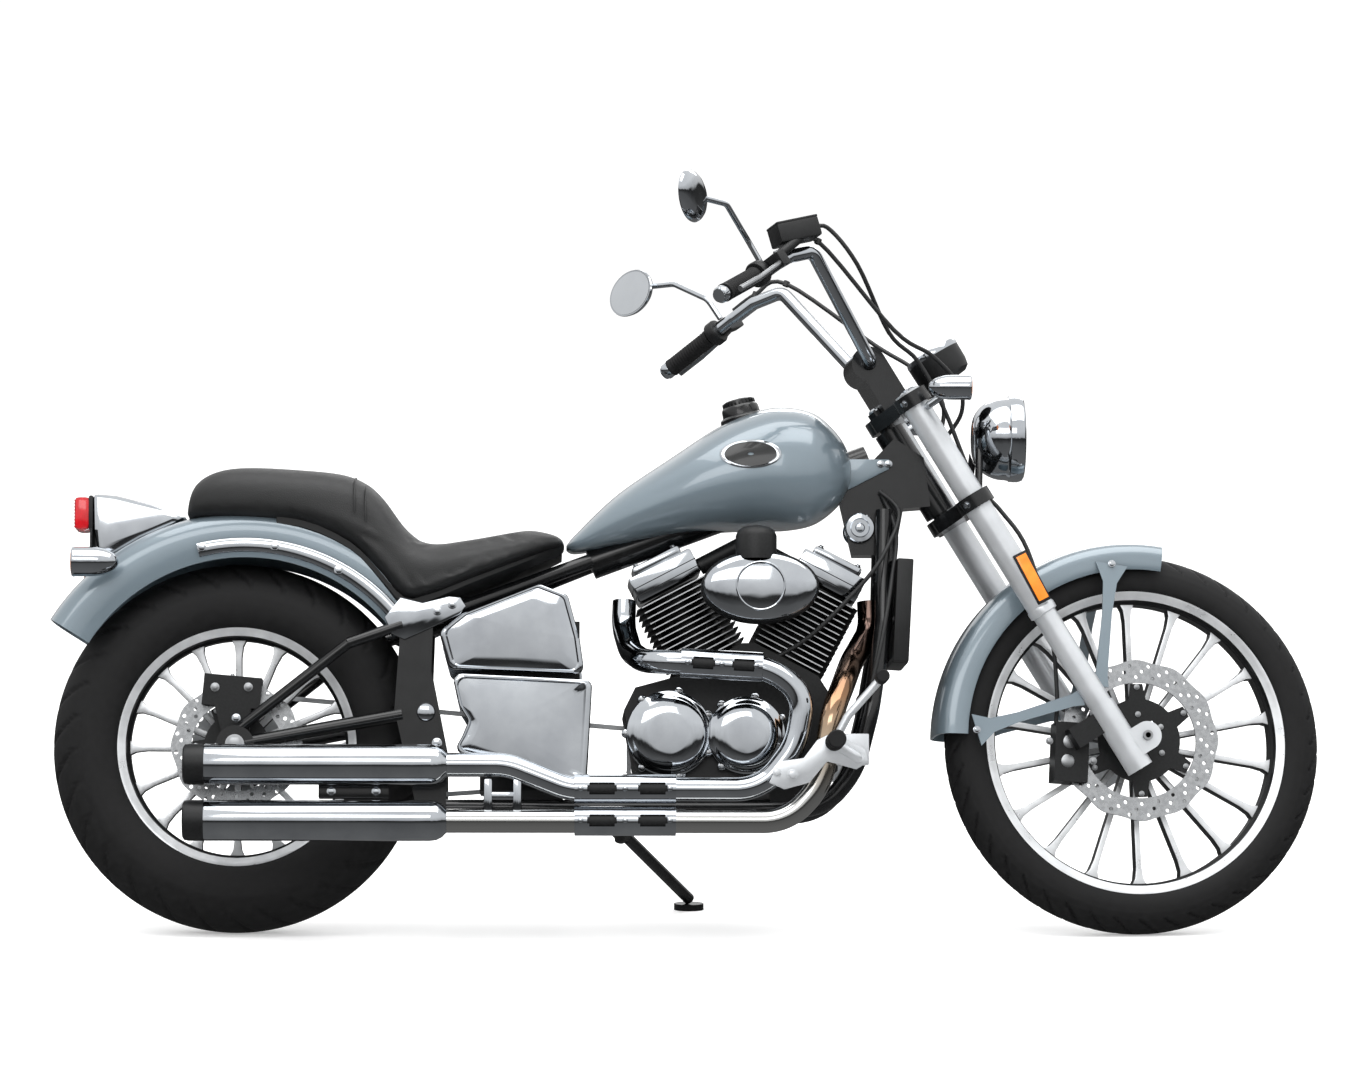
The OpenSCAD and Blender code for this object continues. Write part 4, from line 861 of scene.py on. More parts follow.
# ---- Levers and switches ----
# Black die-cast perches clamp round the bar, with plated levers on pivot bolts. The right one carries the
# brake's reservoir, a black box with a screwed lid.
LEVER_OUT = ((24, 40, 4), (60, 52, 8), (120, 48, 12), (BAR_L - 6, 44, 12))
for side, word in ((-1, "right"), (1, "left")):
    bm = bmesh.new()
    route = [flip(on_grip(d) + grip_front * out - Vector((0, 0, drop)), side) for d, out, drop in LEVER_OUT]
    path = rounded(route, 60, 6)
    sweep(bm, path, [4.6 + 1.2 * k / len(path) for k in range(len(path))], 14, 1)
    at = facing(flip(on_grip(40), side), flip(grip_way, side))
    revolve(bm, [(13, -3), (22, -2), (23.6, 1), (23.6, 15), (22, 18), (13, 19)], at, 40, tone=0)
    swept_back = math.degrees(math.atan2(-grip_way.x, grip_way.y))
    perch = turned(flip(on_grip(24), side), side * swept_back, "Z")
    block(bm, perch @ Matrix.Translation((22, 0, 0)), (58, 24, 28), 3, 0)
    bolt(bm, perch @ Vector((40, 0, 14)), (0, 0, 1), 5, tone=1, head=2.5)
    if side < 0:
        cup = turned((-8, 139 - BAR_HALF, 1104), 16, "Y") @ turned((0, 0, 0), 12, "Z")
        block(bm, cup, (82, 54, 36), 4, 0)
        block(bm, cup @ Matrix.Translation((0, 0, 18.5)), (82, 54, 5), 2, 0)
        sweep(bm, [perch @ Vector((20, 0, 6)), cup @ Vector((0, -14, -14))], 9, 16, 0)
        for x in SIDES:
            revolve(bm, [(0, 2), (3, 2), (4, 0)], cup @ Matrix.Translation((x * 34, 0, 20)), 12, tone=1)
    piece(word + "_controls", bm, FORK, "steering", [PLASTIC, STEEL], [word + "_controls"])

# ---- Bar cables ----
# Wires and a cable in black plastic sheath, tied along the bar and looped down behind the headlamp. They
# turn with the bar, and end near the head.
CABLE_R = 4
loom = bmesh.new()
to_fork = FORK.inverted() @ BIKE
loose = {-1: [(1190, -124, 1092), (1262, -90, 1050), (1312, -68, 998), (1318, -50, 950), (1290, -34, 905)],
         1: [(1170, 128, 1100), (1240, 92, 1050), (1290, 66, 990), (1288, 46, 930), (1262, 30, 890)]}
for side in SIDES:
    tied = [flip(grip_in + Vector((8, 0, 14)), side), flip(turn_in + Vector((11, 0, 13)), side),
            flip(bend + Vector((17, 6, 10)), side)]
    sweep(loom, smooth([tuple(p) for p in tied + [to_fork @ Vector(p) for p in loose[side]]], 6), CABLE_R, 12)
    for p in tied[1:]:
        revolve(loom, [(6, -5), (6, 5)], facing(p, (0.4, 0, 0.3)), 16)
piece("bar_cables", loom, FORK, "steering", [HOSE_RUBBER], sharp=60)

# ---- Mirrors ----
# Oval shells, pressed and chromed, on bent chromed stems screwed into the perches, with silvered glass set
# into the rider's side.
MIRROR_AT = Vector((-185, BAR_HALF + 55, 1231))
MIRROR_TIP, MIRROR_TURN = 36, 26
MIRROR_LONG, MIRROR_TALL, RIM_W = 71, 45, 6
mirror_foot = on_grip(24) + Vector((0, 0, 16))
# Silvered glass: a clean mirror, a touch darker than what it shows.
SILVERED = plated("silvered_mirror_glass", "C8CCD0", 0.03, "C4C8CC", "CCD0D4")
mirrors = bmesh.new()
for side in SIDES:
    stem = rounded([mirror_foot, mirror_foot + Vector((0, 6, 44)), (-120, BAR_HALF - 15, 1196),
                    MIRROR_AT + Vector((20, -30, -6))], 26, 6)
    sweep(mirrors, [flip(p, side) for p in stem], 5.3, 18)
    shell = turned(flip(MIRROR_AT, side), MIRROR_TIP, "Y") @ turned((0, 0, 0), side * MIRROR_TURN, "Z")
    rings = []
    for x, share in ((-1.2, 0.93), (-1.4, 0.98), (1, 1.0), (6, 0.95), (11, 0.84), (15, 0.68), (17, 0.4)):
        rings.append([shell @ Vector((x, MIRROR_LONG * share * math.cos(t),
                                      MIRROR_TALL * share * math.sin(t)))
                      for t in turns(56)])
    skin(mirrors, rings)
    glass = [shell @ Vector((-1.6, (MIRROR_LONG - RIM_W) * math.cos(t), (MIRROR_TALL - 4) * math.sin(t)))
             for t in turns(56)]
    mirrors.faces.new([mirrors.verts.new(p) for p in glass]).material_index = 1
piece("mirrors", mirrors, FORK, "steering", [CHROME, SILVERED], ["mirrors"], sharp=50)

# ---- Frame ----
# Black enamelled steel: a head tube with a boxed gusset, a round backbone, two bent cradle tubes and
# plates at the swingarm pivot.
TUBE_R, RAIL_Z, RAIL_Y, ARM_Y = 16, 222, 115, 112
coat(BLACK_ENAMEL, "frame_spine", "frame_rear", "swingarm", "side_stand")
cradle = bmesh.new()
for side in SIDES:
    route = [(1176, side * 46, 770), (1172, side * 78, 560), (1146, side * RAIL_Y, 400),
             (1118, side * RAIL_Y, 290), (1060, side * RAIL_Y, RAIL_Z), (380, side * RAIL_Y, RAIL_Z)]
    sweep(cradle, rounded(route, 160, 10), TUBE_R, 24)
stand_pivot = Vector((700, 152, 192))
stand_foot = Vector((830, 348, 348 * math.tan(math.asin(bike_left.z * -1))))
stand_axis = (stand_foot - stand_pivot).cross(Vector((-0.985, 0.12, 0.12))).normalized()
sweep(cradle, [(694, RAIL_Y, RAIL_Z), stand_pivot - stand_axis * 14], 11, 20)
sweep(cradle, [stand_pivot - stand_axis * 20, stand_pivot - stand_axis * 14], 10, 20)
sweep(cradle, [stand_pivot - stand_axis * 16, stand_pivot + stand_axis * 12], 5.8, 20)
bolt(cradle, stand_pivot + stand_axis * 12, stand_axis, 8, tone=1)
piece("frame_cradle", cradle, BIKE, "chassis", [BLACK_ENAMEL, STEEL], ["frame_cradle"],
      sharp=50)
frame_bolts = bmesh.new()
for side in SIDES:
    revolve(frame_bolts, [(0, 6), (9, 6), (15, 4), (17, 0)],
            facing((343, side * (ARM_Y + 8), 395), (0, side, 0)), 36)
    bolt(frame_bolts, (363, side * (ARM_Y + 8), 339), (0, side, 0), 8, tone=0)
    for x in (1171, 1185):
        bolt(frame_bolts, (x, side * 36.5, 857), (0, side, 0), 6, tone=0)
    bolt(frame_bolts, (2, side * (ARM_Y + 12.5), 383), (0, side, 0), 7, tone=0)
piece("frame_bolts", frame_bolts, BIKE, "chassis", [CHROME])

cable = bmesh.new()
sweep(cable, smooth([(1168, -46, 806), (1202, -66, 764), (1174, -98, 690), (1133, -106, 632),
                     (1037, -110, 535), (948, -114, 481), (916, -120, 462)], 7), CABLE_R, 12)
sweep(cable, smooth([(1172, -40, 800), (1196, -64, 730), (1186, -100, 640), (1164, -132, 520),
                     (1140, -136, 420)], 7), CABLE_R, 12)
piece("frame_cables", cable, BIKE, "chassis", [HOSE_RUBBER], sharp=60)

# ---- Radiator and horn ----
# A black aluminium core of fins and tubes between side tanks, bolted ahead of the down tubes. A round
# chromed horn hangs on the head gusset.
radiator = bmesh.new()
core = turned((1206, 0, 583), 3, "Y")
for side in SIDES:
    block(radiator, core @ Matrix.Translation((0, side * 100, 0)), (29, 19, 188), 3, 0)
    block(radiator, core @ Matrix.Translation((0, 0, side * 90)), (29, 184, 10), 2, 0)
    sweep(radiator, [(1198, side * 79, 566), (1189, side * 78, 566)], 7, 16, 0)
for k in range(44):
    block(radiator, core @ Matrix.Translation((0, 0, -84 + 3.9 * k)), (22, 182, 0.8), 0, 1)
for k in range(9):
    block(radiator, core @ Matrix.Translation((0, -80 + 20 * k, 0)), (20, 3, 172), 0, 0)
# Folded aluminium sprayed black: a dark metal grey with a broken, satin shine.
FINS = plated("black_radiator_fins", "34373A", 0.5, "2E3134", "3C3F42")
piece("radiator", radiator, BIKE, "chassis", [PLASTIC, FINS], ["radiator"])
horn = bmesh.new()
for side in SIDES:
    at = facing((1132, side * 30, 739), (0, side, 0))
    revolve(horn, [(8, 0), (8, 4), (24, 5), (27, 8), (27, 12), (25, 14), (18, 14.5), (16, 12.5), (9, 12.5),
                   (7, 15), (0, 16)], at, 56)
piece("horn", horn, BIKE, "chassis", [CHROME])

# ---- Engine case ----
# A black-coated cast case under chromed round covers, each held by screws in lugs round its rim.
CRANK, CASE_HALF = Vector((925, 0, 360)), 125
coat(BLACK_CAST, "crankcase")
covers = bmesh.new()
for x, z, r, side, thick in ((781, 356, 78, -1, 30), (920, 353, 71, -1, 30), (785, 283, 26, -1, 16),
                             (930, 355, 88, 1, 40), (780, 350, 60, 1, 30)):
    at = facing((x, side * CASE_HALF, z), (0, side, 0))
    revolve(covers, [(r, 0), (r, thick * 0.45), (r - 2, thick * 0.55), (r - 7, thick * 0.6),
                     (r - 12, thick * 0.75), (r - 20, thick * 0.92), (r * 0.45, thick * 0.98),
                     (0, thick)], at, 96)
    if r > 50:
        for k in range(7):
            turn = 2 * math.pi * (k + 0.5) / 7
            spot = at @ Vector((r * math.cos(turn), r * math.sin(turn), thick * 0.5))
            revolve(covers, [(0, 0), (6.5, -0.5), (8, -2.5), (8, 2 - thick * 0.5), (0, 2 - thick * 0.5)],
                    facing(spot, (0, side, 0)), 24)
            revolve(covers, [(0, 2), (2, 2), (3.6, 1.6), (4, 0)], facing(spot, (0, side, 0)), 14, tone=1)
piece("engine_covers", covers, BIKE, "chassis", [CHROME, STEEL], ["engine_covers"], sharp=50)

# ---- Cylinders ----
# Two black-coated cylinders in a vee, with the edges of their cast fins machined bright, and chromed
# covers on the heads held by four bolts.
TILT, DECK, FIN_PITCH, FINS_EACH = 27.5, 148, 11, 13
# Bare aluminium left by the cutter: bright satin lines on the black fins.
BRIGHT_EDGE = plated("machined_fin_edge", "B2B4B6", 0.28, "A8AAAC", "BCBEC0")
engine = bmesh.new()
for side in SIDES:
    lay = turned(CRANK, side * TILT, "Y")
    revolve(engine, [(0, DECK), (56, DECK), (56, DECK + 150), (0, DECK + 150)],
            lay @ Matrix.Translation((side * 3, 0, 0)), 48)
    for k in range(1, FINS_EACH + 1):
        s = DECK + k * FIN_PITCH
        low = max(-75, 0.6 - s * math.tan(math.radians(TILT)) + 2)
        half = 76 + (1 if k % 2 else 0)
        outline = [(side * low, -half + 8), (side * (low + 8), -half), (side * 66, -half),
                   (side * 74, -half + 10), (side * 74, half - 10), (side * 66, half),
                   (side * (low + 8), half), (side * low, half - 8)]
        slab(engine, outline, s - 1.3, s + 1.3, lay, 0)
        for y in SIDES:
            block(engine, lay @ Matrix.Translation((side * (low + 74) / 2, y * (half + 0.1), s)),
                  (66 - low - 10, 0.8, 2.0), 0, 1)
    head_s = DECK + FINS_EACH * FIN_PITCH + 35
    block(engine, lay @ Matrix.Translation((0, 0, head_s)), (126, 138, 48), 5, 2)
    for s in (head_s - 12, head_s + 2):
        block(engine, lay @ Matrix.Translation((0, 0, s)), (127, 139, 1.6), 0, 0)
    block(engine, lay @ Matrix.Translation((0, 0, head_s + 31)), (96, 108, 18), 7, 2)
    for x in SIDES:
        for y in SIDES:
            bolt(engine, lay @ Vector((x * 38, y * 44, head_s + 40)), lay.to_3x3() @ Vector((0, 0, 1)), 5,
                 tone=2, head=3)
piece("cylinders", engine, BIKE, "chassis", [BLACK_CAST, BRIGHT_EDGE, CHROME], ["cylinders"])

# ---- Air cleaner ----
# A domed oval chromed cover with a raised ring on a black backing, a black dome above it, and the intake
# between the heads.
CLEANER_AT = Vector((943, -193, 616))
cleaner = bmesh.new()


def oval(x, z, y):
    return [CLEANER_AT + Vector((x * math.cos(t), y, z * math.sin(t))) for t in turns(72)]


skin(cleaner, [oval(104, 63, 32), oval(106, 65, 28), oval(106, 65, -6), oval(102, 62, -12)], tone=1)
face = [oval(102, 61, -10), oval(102, 61, -15)]
for share in (0.985, 0.96, 0.92, 0.85, 0.75, 0.62, 0.48, 0.34, 0.2, 0.08):
    face.append(oval(102 * share, 61 * share, -16 - 15 * math.sqrt(1 - share ** 2)))
skin(cleaner, face, tone=0)
dome_y = -16 - 15 * math.sqrt(1 - 0.5 ** 2)
revolve(cleaner, [(41, 0), (41.6, 1.6), (43, 2.2), (44.4, 1.6), (45, 0)],
        facing(CLEANER_AT + Vector((0, dome_y - 0.6, 0)), (0, -1, 0)), 72, closed=True)
revolve(cleaner, [(0, 0), (30, 0), (30, 90), (0, 90)], facing((925, -76, 640), (0, -1, 0)), 40, tone=1)
revolve(cleaner, [(37, -40), (37, 2), (33, 12), (24, 18), (10, 21), (0, 21.5)],
        Matrix.Translation((936, -190, 706)), 48, tone=1)
sweep(cleaner, [(925, -40, 640), (925, -40, 712)], 21, 24, 1)
for side in SIDES:
    turn = math.radians(side * TILT)
    along, out = Vector((math.sin(turn), 0, math.cos(turn))), Vector((math.cos(turn), 0, -math.sin(turn)))
    start = CRANK + Vector((0, -40, 0)) + along * 312 - out * side * 160
    sweep(cleaner, [start, start + out * side * 95], 15.5, 24, 1)
piece("air_cleaner", cleaner, BIKE, "chassis", [CHROME, BLACK_CAST], ["air_cleaner"], sharp=40)

# ---- Exhaust ----
# Chromed steel headers, heated to a faint bronze near the heads, with slotted heat shields held by
# clips, into two straight mufflers with black end caps.
PIPE_R, PIPE_Y, MUFFLER_R, MUFFLER_Y = 22, -206, 36.5, -212
MUFFLER_Z, LOW_RUN_Z = (295, 195), 252
# The black sleeve inside each heat shield is painted shade for its slots: the pipe under the shield is
# chrome.
SHIELD_R, PAINTED_SHADE_SLEEVE_R, TINT_MM = 25.5, 22.6, 125


def heat_tinted():
    """Chrome over hot steel: bright low down, then straw, bronze and brown as it nears the head."""
    made, tree, shader = surface("heat_tinted_chrome", "C2C0BA", metallic=1.0, roughness=0.12)
    where = add(tree, "TexCoord").outputs["Object"]
    tall = add(tree, "SeparateXYZ", {0: where}).outputs["Z"]
    drift = add(tree, "TexNoise", {"Vector": where, "Scale": 1000 / TINT_MM, "Detail": 2.0}).outputs["Fac"]
    hot = add(tree, "Math", {0: drift, 1: 0.06, 2: tall}, operation="MULTIPLY_ADD").outputs[0]
    tones = [(0.3, "BEBEBC"), (0.4, "B5A48E"), (0.48, "8F6E54"), (0.56, "5A4A44")]
    stops = [(place, linear(code)) for place, code in tones]
    colour = add(tree, "ValToRGB", {0: hot}, stops=stops).outputs[0]
    tree.links.new(colour, shader.inputs["Base Color"])
    return made


TINTED = heat_tinted()
rear_pipe = rounded([(702, -30, 604), (700, -38, 556), (712, -104, 506), (734, -168, 484), (772, PIPE_Y, 480),
                     (960, PIPE_Y, 470), (1022, PIPE_Y, 420), (1006, PIPE_Y, 330), (946, PIPE_Y, LOW_RUN_Z),
                     (600, PIPE_Y, LOW_RUN_Z), (490, PIPE_Y, MUFFLER_Z[0]),
                     (382, PIPE_Y, MUFFLER_Z[0])], 120, 12)
front_pipe = rounded([(1148, -30, 604), (1150, -34, 552), (1112, -96, 488), (1092, -172, 440),
                      (1072, PIPE_Y, 392), (1050, PIPE_Y, 260), (990, PIPE_Y, MUFFLER_Z[1]),
                      (382, PIPE_Y, MUFFLER_Z[1])], 120, 12)
pipes = bmesh.new()
sweep(pipes, rear_pipe, PIPE_R - 0.4, 28, 1)
sweep(pipes, front_pipe, PIPE_R - 0.4, 28)


def shield(bm, start, end, clips):
    """A pressed half-round cover outside a straight of pipe, with two long slots and a screw at each clip,
    over a black sleeve that is painted shade seen through the slots.
    """
    start, end = Vector(start), Vector(end)
    way = (end - start).normalized()
    up = Vector((0, -1, 0)).cross(way).normalized()
    steps, rows = 48, 14
    bow = [math.radians(-84 + 168 * k / rows) for k in range(rows + 1)]
    rings = [[start.lerp(end, i / steps) + SHIELD_R * (math.cos(t) * Vector((0, -1, 0)) + math.sin(t) * up)
              for t in bow] for i in range(steps + 1)]
    part = bmesh.new()
    faces = skin(part, rings, closed=False)
    cut = [faces[i * rows + k] for i in range(steps) for k in range(rows)
           if (i % 24 in range(6, 20) and k in (6, 7)) or (i % 24 in range(7, 19) and k in (5, 8))]
    bmesh.ops.delete(part, geom=cut, context="FACES")
    bmesh.ops.solidify(part, geom=list(part.faces), thickness=1.2)
    merge_in(bm, part, 1)
    # Painted shade: a black sleeve just inside the shield darkens the slots where the chrome pipe would show.
    sweep(bm, [start, end], PAINTED_SHADE_SLEEVE_R, 28, 2)
    for share in clips:
        at = start.lerp(end, share)
        revolve(bm, [(0, 3), (4, 2.6), (5.4, 0.6), (5.4, -1)],
                facing(at + Vector((0, -SHIELD_R - 0.1, 0)), (0, -1, 0)), 20, tone=1)


for z in (LOW_RUN_Z, MUFFLER_Z[1]):
    shield(pipes, (610, PIPE_Y, z), (791, PIPE_Y, z), (0.06, 0.5, 0.94))
shield(pipes, (800, PIPE_Y, 478.5), (946, PIPE_Y, 470.8), (0.08, 0.5, 0.92))
piece("exhaust_pipes", pipes, BIKE, "chassis", [TINTED, CHROME, BLACK_CAST], ["exhaust_pipes"],
      sharp=50)
mufflers = bmesh.new()
for z in MUFFLER_Z:
    at = facing((-88, MUFFLER_Y, z), (1, 0, 0))
    revolve(mufflers, [(26, 4), (30, 1), (35, 4), (MUFFLER_R, 12), (MUFFLER_R, 38), (MUFFLER_R - 0.9, 39)],
            at, 72, tone=1)
    revolve(mufflers,
            [(MUFFLER_R - 0.9, 39), (MUFFLER_R - 0.1, 41), (MUFFLER_R - 0.1, 440), (35, 452), (30, 462),
                       (23, 469), (22.4, 470)], at, 72, tone=0)
    revolve(mufflers, [(26, 4), (25.5, 60), (0, 60)], at, 48, tone=1)
block(mufflers, Matrix.Translation((216, -182, 248)), (126, 11, 26), 3, 2)
for x in (176, 256):
    bolt(mufflers, (x, -188, 248), (0, -1, 0), 7, tone=0)
for x in (456, 508):
    block(mufflers, Matrix.Translation((x, PIPE_Y, 240)), (16, 20, 62), 6, 0)
block(mufflers, Matrix.Translation((482, PIPE_Y, 240)), (44, 16, 14), 4, 0)
piece("mufflers", mufflers, BIKE, "chassis", [CHROME, BLACK_CAST, BLACK_ENAMEL], ["mufflers"],
      sharp=40)

# ---- Foot controls ----
# Satin cast brackets bolted to the frame carry ribbed rubber pegs, with a brake pedal on the right and a
# shifter on the left.
PEG_ROOT, PEG_L = 248, 96


def upright(side, out=0.0):
    """A placement that stands an outline drawn in x and z on edge along one side of the machine."""
    return Matrix(((1, 0, 0, 0), (0, 0, side, side * out), (0, 1, 0, 0), (0, 0, 0, 1)))


feet = bmesh.new()
for side in SIDES:
    peg, elbow = Vector((1072, side * PEG_ROOT, 334)), Vector((1120, side * (PEG_ROOT - 2), 304))
    sweep(feet, rounded([(1120, side * 131.5, 304), elbow, peg], 14, 6), 9.6, 20)
    revolve(feet, [(0, 0), (14, 0), (16, 3), (16, 10)],
            facing(peg - Vector((0, side * 4, 0)), (0, side, 0)), 32)
    ribs = [(12, 8), (16.6, 9)]
    for k in range(9):
        ribs += [(16.6, 12 + 9 * k), (14.6, 14 + 9 * k), (14.6, 17 + 9 * k), (16.6, 19 + 9 * k)]
    revolve(feet, ribs + [(16.6, PEG_L), (14, PEG_L + 3), (0, PEG_L + 3)], facing(peg, (0, side, 0)), 32,
            tone=1)
    sweep(feet, rounded([peg + Vector((0, side * 4, 0)), (1096, side * (PEG_ROOT + 4), 380),
                         (1156, side * (PEG_ROOT + 4), 448)], 40, 6), 7.4, 16)
    revolve(feet, [(0, 0), (11, 0), (11.8, 2), (11.8, 60), (10, 64), (0, 64)],
            facing((1156, side * (PEG_ROOT + 2), 448), (0, side, 0)), 28, tone=1)
    outline = [(956, 262), (984, 250), (1028, 262), (1060, 300), (1112, 286), (1134, 300), (1128, 322),
               (1090, 342), (1066, 350), (1042, 338), (1018, 306), (974, 300)]
    slab(feet, outline, -4, 4, upright(side, PEG_ROOT - 8), 2.0)
    for x, z, size in ((970, 280, 7), (998, 276, 9), (1120, 304, 8)):
        bolt(feet, (x, side * (PEG_ROOT - 4), z), (0, side, 0), size)
block(feet, Matrix.Translation((1106, 20 - PEG_ROOT, 322)), (58, 22, 56), 3, 0)
piece("foot_controls", feet, BIKE, "chassis", [FORK_SILVER, GRIP_RUBBER], ["foot_controls"],
      sharp=40)

# ---- Chain drive ----
# A roller chain runs round a toothed steel sprocket bolted to the rear hub. Its links alternate inner and
# outer plates, pressed on pins.
SPROCKET_Y, SPROCKET_R, TEETH = 86, 96, 42
CHAIN_R, CHAIN_PITCH, CHAIN_L = 105, 15.9, 720
OUTPUT_TOP, OUTPUT_LOW = 378, 282
sprocket = bmesh.new()
edge = []
for turn in turns(TEETH * 6):
    r = SPROCKET_R - 4.5 + 4.2 * max(0, math.cos(TEETH * turn))
    edge.append((r * math.cos(turn), r * math.sin(turn)))
ports = [circle(66 * math.cos(math.pi * k / 3), 66 * math.sin(math.pi * k / 3), 13, 24) for k in range(6)]
pierced(sprocket, edge, [circle(0, 0, 12, 32)] + ports, -3, 3,
        Matrix.Translation((0, SPROCKET_Y, 0)) @ ACROSS)
revolve(sprocket, [(12, 62), (46, 62), (46, 83), (12, 83)], ACROSS, 48)
piece("rear_sprocket", sprocket, REAR_WHEEL, "rear_wheel", [STEEL], ["rear_sprocket"])
chain = bmesh.new()
top, low = Vector((0, 0, REAR_HUB_Z + CHAIN_R)), Vector((0, 0, REAR_HUB_Z - CHAIN_R))
top_way, low_way = Vector((CHAIN_L, 0, OUTPUT_TOP)) - top, Vector((CHAIN_L, 0, OUTPUT_LOW)) - low
loop = [top + top_way * k / 40 for k in range(41)]
loop += [Vector((CHAIN_L - 8, 0, OUTPUT_TOP + (OUTPUT_LOW - OUTPUT_TOP) * k / 6)) for k in range(1, 6)]
loop += [low + low_way * k / 40 for k in range(40, -1, -1)]
loop += [Vector((-CHAIN_R * math.sin(math.radians(a)), 0, REAR_HUB_Z - CHAIN_R * math.cos(math.radians(a))))
         for a in range(10, 180, 10)]
walk, spots, due = 0.0, [], 0.0
for a, b in zip(loop, loop[1:] + loop[:1]):
    span = (b - a).length
    while due <= walk + span and span > 0:
        spots.append((a.lerp(b, (due - walk) / span), (b - a).normalized()))
        due += CHAIN_PITCH
    walk += span
for k, (spot, way) in enumerate(spots):
    at = turned(spot + Vector((0, SPROCKET_Y, 0)), -math.degrees(math.atan2(way.z, way.x)), "Y")
    reach = 6.2 if k % 2 else 4.4
    for side in SIDES:
        block(chain, at @ Matrix.Translation((0, side * reach, 0)), (20 if k % 2 else 18, 1.4, 8.0), 0, 0)
    revolve(chain, [(0, -6.6), (3, -6.6), (3, 6.6), (0, 6.6)], at @ ACROSS, 8)
piece("drive_chain", chain, BIKE, "chassis", [STEEL], ["drive_chain"])

# ---- Rear brake ----
# A black cast caliper on a torque plate beside the right arm, held by two slide pins, with a bleed nipple
# on top. A large nut holds the axle on each side.
coat(BLACK_CAST, "rear_caliper")
rear_trim = bmesh.new()
for x in (-38, 22):
    bolt(rear_trim, (x, -99.8, 441), (0, -1, 0), 7)
revolve(rear_trim, [(0, 5), (3, 5), (4, 0)], facing((-8, -74, 462), (0, 0, 1)), 14)
for side in SIDES:
    bolt(rear_trim, (0, side * (ARM_Y + 22), REAR_HUB_Z), (0, side, 0), 15, head=7)
piece("rear_brake_bolts", rear_trim, BIKE, "chassis", [STEEL])

# ---- Fuel tank ----
# Two pressed steel halves welded along a low seam and lacquered, with a plain enamelled oval on each
# side and a black screw-down cap in the top.
CAP_AT = Vector((921, 0, 944))
# Each row is a length, the low and the high of the section there, and half its width. SQUARE says how square
# the section is, and BELLY how high up it is widest.
TANK_SQUARE, TANK_BELLY = 2.4, 0.42
TANK = [(596, 699, 709, 22), (616, 694, 732, 56), (690, 708, 802, 100), (792, 728, 872, 132),
        (876, 735, 927, 150), (950, 738, 957, 155), (1001, 739, 962, 155), (1051, 750, 950, 143),
        (1090, 778, 916, 107), (1111, 808, 882, 65), (1119, 836, 852, 16)]


def section(row, power, belly, sides, shrink):
    """The closed section of one row, drawn in by a shrink all round."""
    x, low, high, half = row
    level = low + belly * (high - low)
    ring = []
    for k in range(sides):
        c, s = math.cos(2 * math.pi * k / sides), math.sin(2 * math.pi * k / sides)
        c, s = math.copysign(abs(c) ** (2 / power), c), math.copysign(abs(s) ** (2 / power), s)
        ring.append(Vector((x, (half - shrink) * c,
                            level + s * ((high - level if s > 0 else level - low) - shrink))))
    return ring


tank = bmesh.new()
skin(tank, [section(row, TANK_SQUARE, TANK_BELLY, 72, 0.4) for row in smooth(TANK, 7)])
for side in SIDES:
    slab(tank, [(1088, 812), (1096, 866), (1186, 866), (1186, 848), (1112, 810)], 30.6, 35.6,
         upright(side), 1.0)
piece("fuel_tank", tank, BIKE, "chassis", [PAINT], ["fuel_tank"], sharp=60)
cap = bmesh.new()
seated = turned(CAP_AT + Vector((0, 0, -8)), -14, "Y")
revolve(cap, [(33, -26), (33, 2), (41, 4), (41, 10), (39, 13), (35, 15), (34, 28), (32, 32), (29, 34),
              (28, 42), (24, 44), (0, 44.5)],
        seated, 72)
for turn in turns(24):
    rib = seated @ Matrix.Rotation(turn, 4, "Z") @ Matrix.Translation((29, 0, 37))
    block(cap, rib, (3, 3.4, 8), 0.4)
piece("filler_cap", cap, BIKE, "chassis", [BLACK_ENAMEL])
emblem = bmesh.new()


def on_tank(x, z, out, side):
    """The point of the tank's flank at a length and a height, a little proud of the paint."""
    rows = smooth(TANK, 7)
    k = max(k for k, row in enumerate(rows[:-1]) if row[0] <= x)
    t = (x - rows[k][0]) / (rows[k + 1][0] - rows[k][0])
    row = [p + (q - p) * t for p, q in zip(rows[k], rows[k + 1])]
    level = row[1] + TANK_BELLY * (row[2] - row[1])
    s = (z - level) / ((row[2] - level) if z > level else (level - row[1]))
    c = max(0.0, 1 - abs(s) ** TANK_SQUARE) ** (1 / TANK_SQUARE)
    return Vector((x, side * (row[3] * c + out), z))


for side in SIDES:
    for shares, outs, tone in (((1.0, 0.985, 0.9, 0.84, 0.83), (-1, 1.6, 2.6, 1.8, 0.6), 0),
                               ((0.85, 0.7, 0.55, 0.4, 0.25, 0.1), (1.0, 1.0, 1.1, 1.2, 1.3, 1.3), 1)):
        rings = [[on_tank(928 + 56 * share * math.cos(t), 862 + 27 * share * math.sin(t), out, side)
                  for t in turns(64)] for share, out in zip(shares, outs)]
        skin(emblem, rings, tone=tone, caps=False)
piece("tank_emblems", emblem, BIKE, "chassis", [CHROME, BLACK_ENAMEL], sharp=40)

# ---- Seat ----
# Moulded foam under black grained vinyl, stepped for a pillion, with two sewn seams over the step. The vinyl
# is stretched over the foam and stapled under a black moulded base.
GRAIN_MM = 1.61
SEAT_SQUARE, SEAT_BELLY = 3, 0.4
SEAT = [(-95, 752, 764, 60), (-78, 742, 822, 92), (-14, 740, 850, 112), (112, 730, 846, 120),
        (203, 690, 834, 122), (254, 640, 798, 126), (303, 588, 734, 132), (348, 594, 708, 142),
        (421, 624, 714, 150), (529, 668, 732, 132), (580, 690, 726, 96), (594, 696, 708, 60)]
CLOTH_M, PUFF_M, SETTLE = 0.006, 0.005, 20


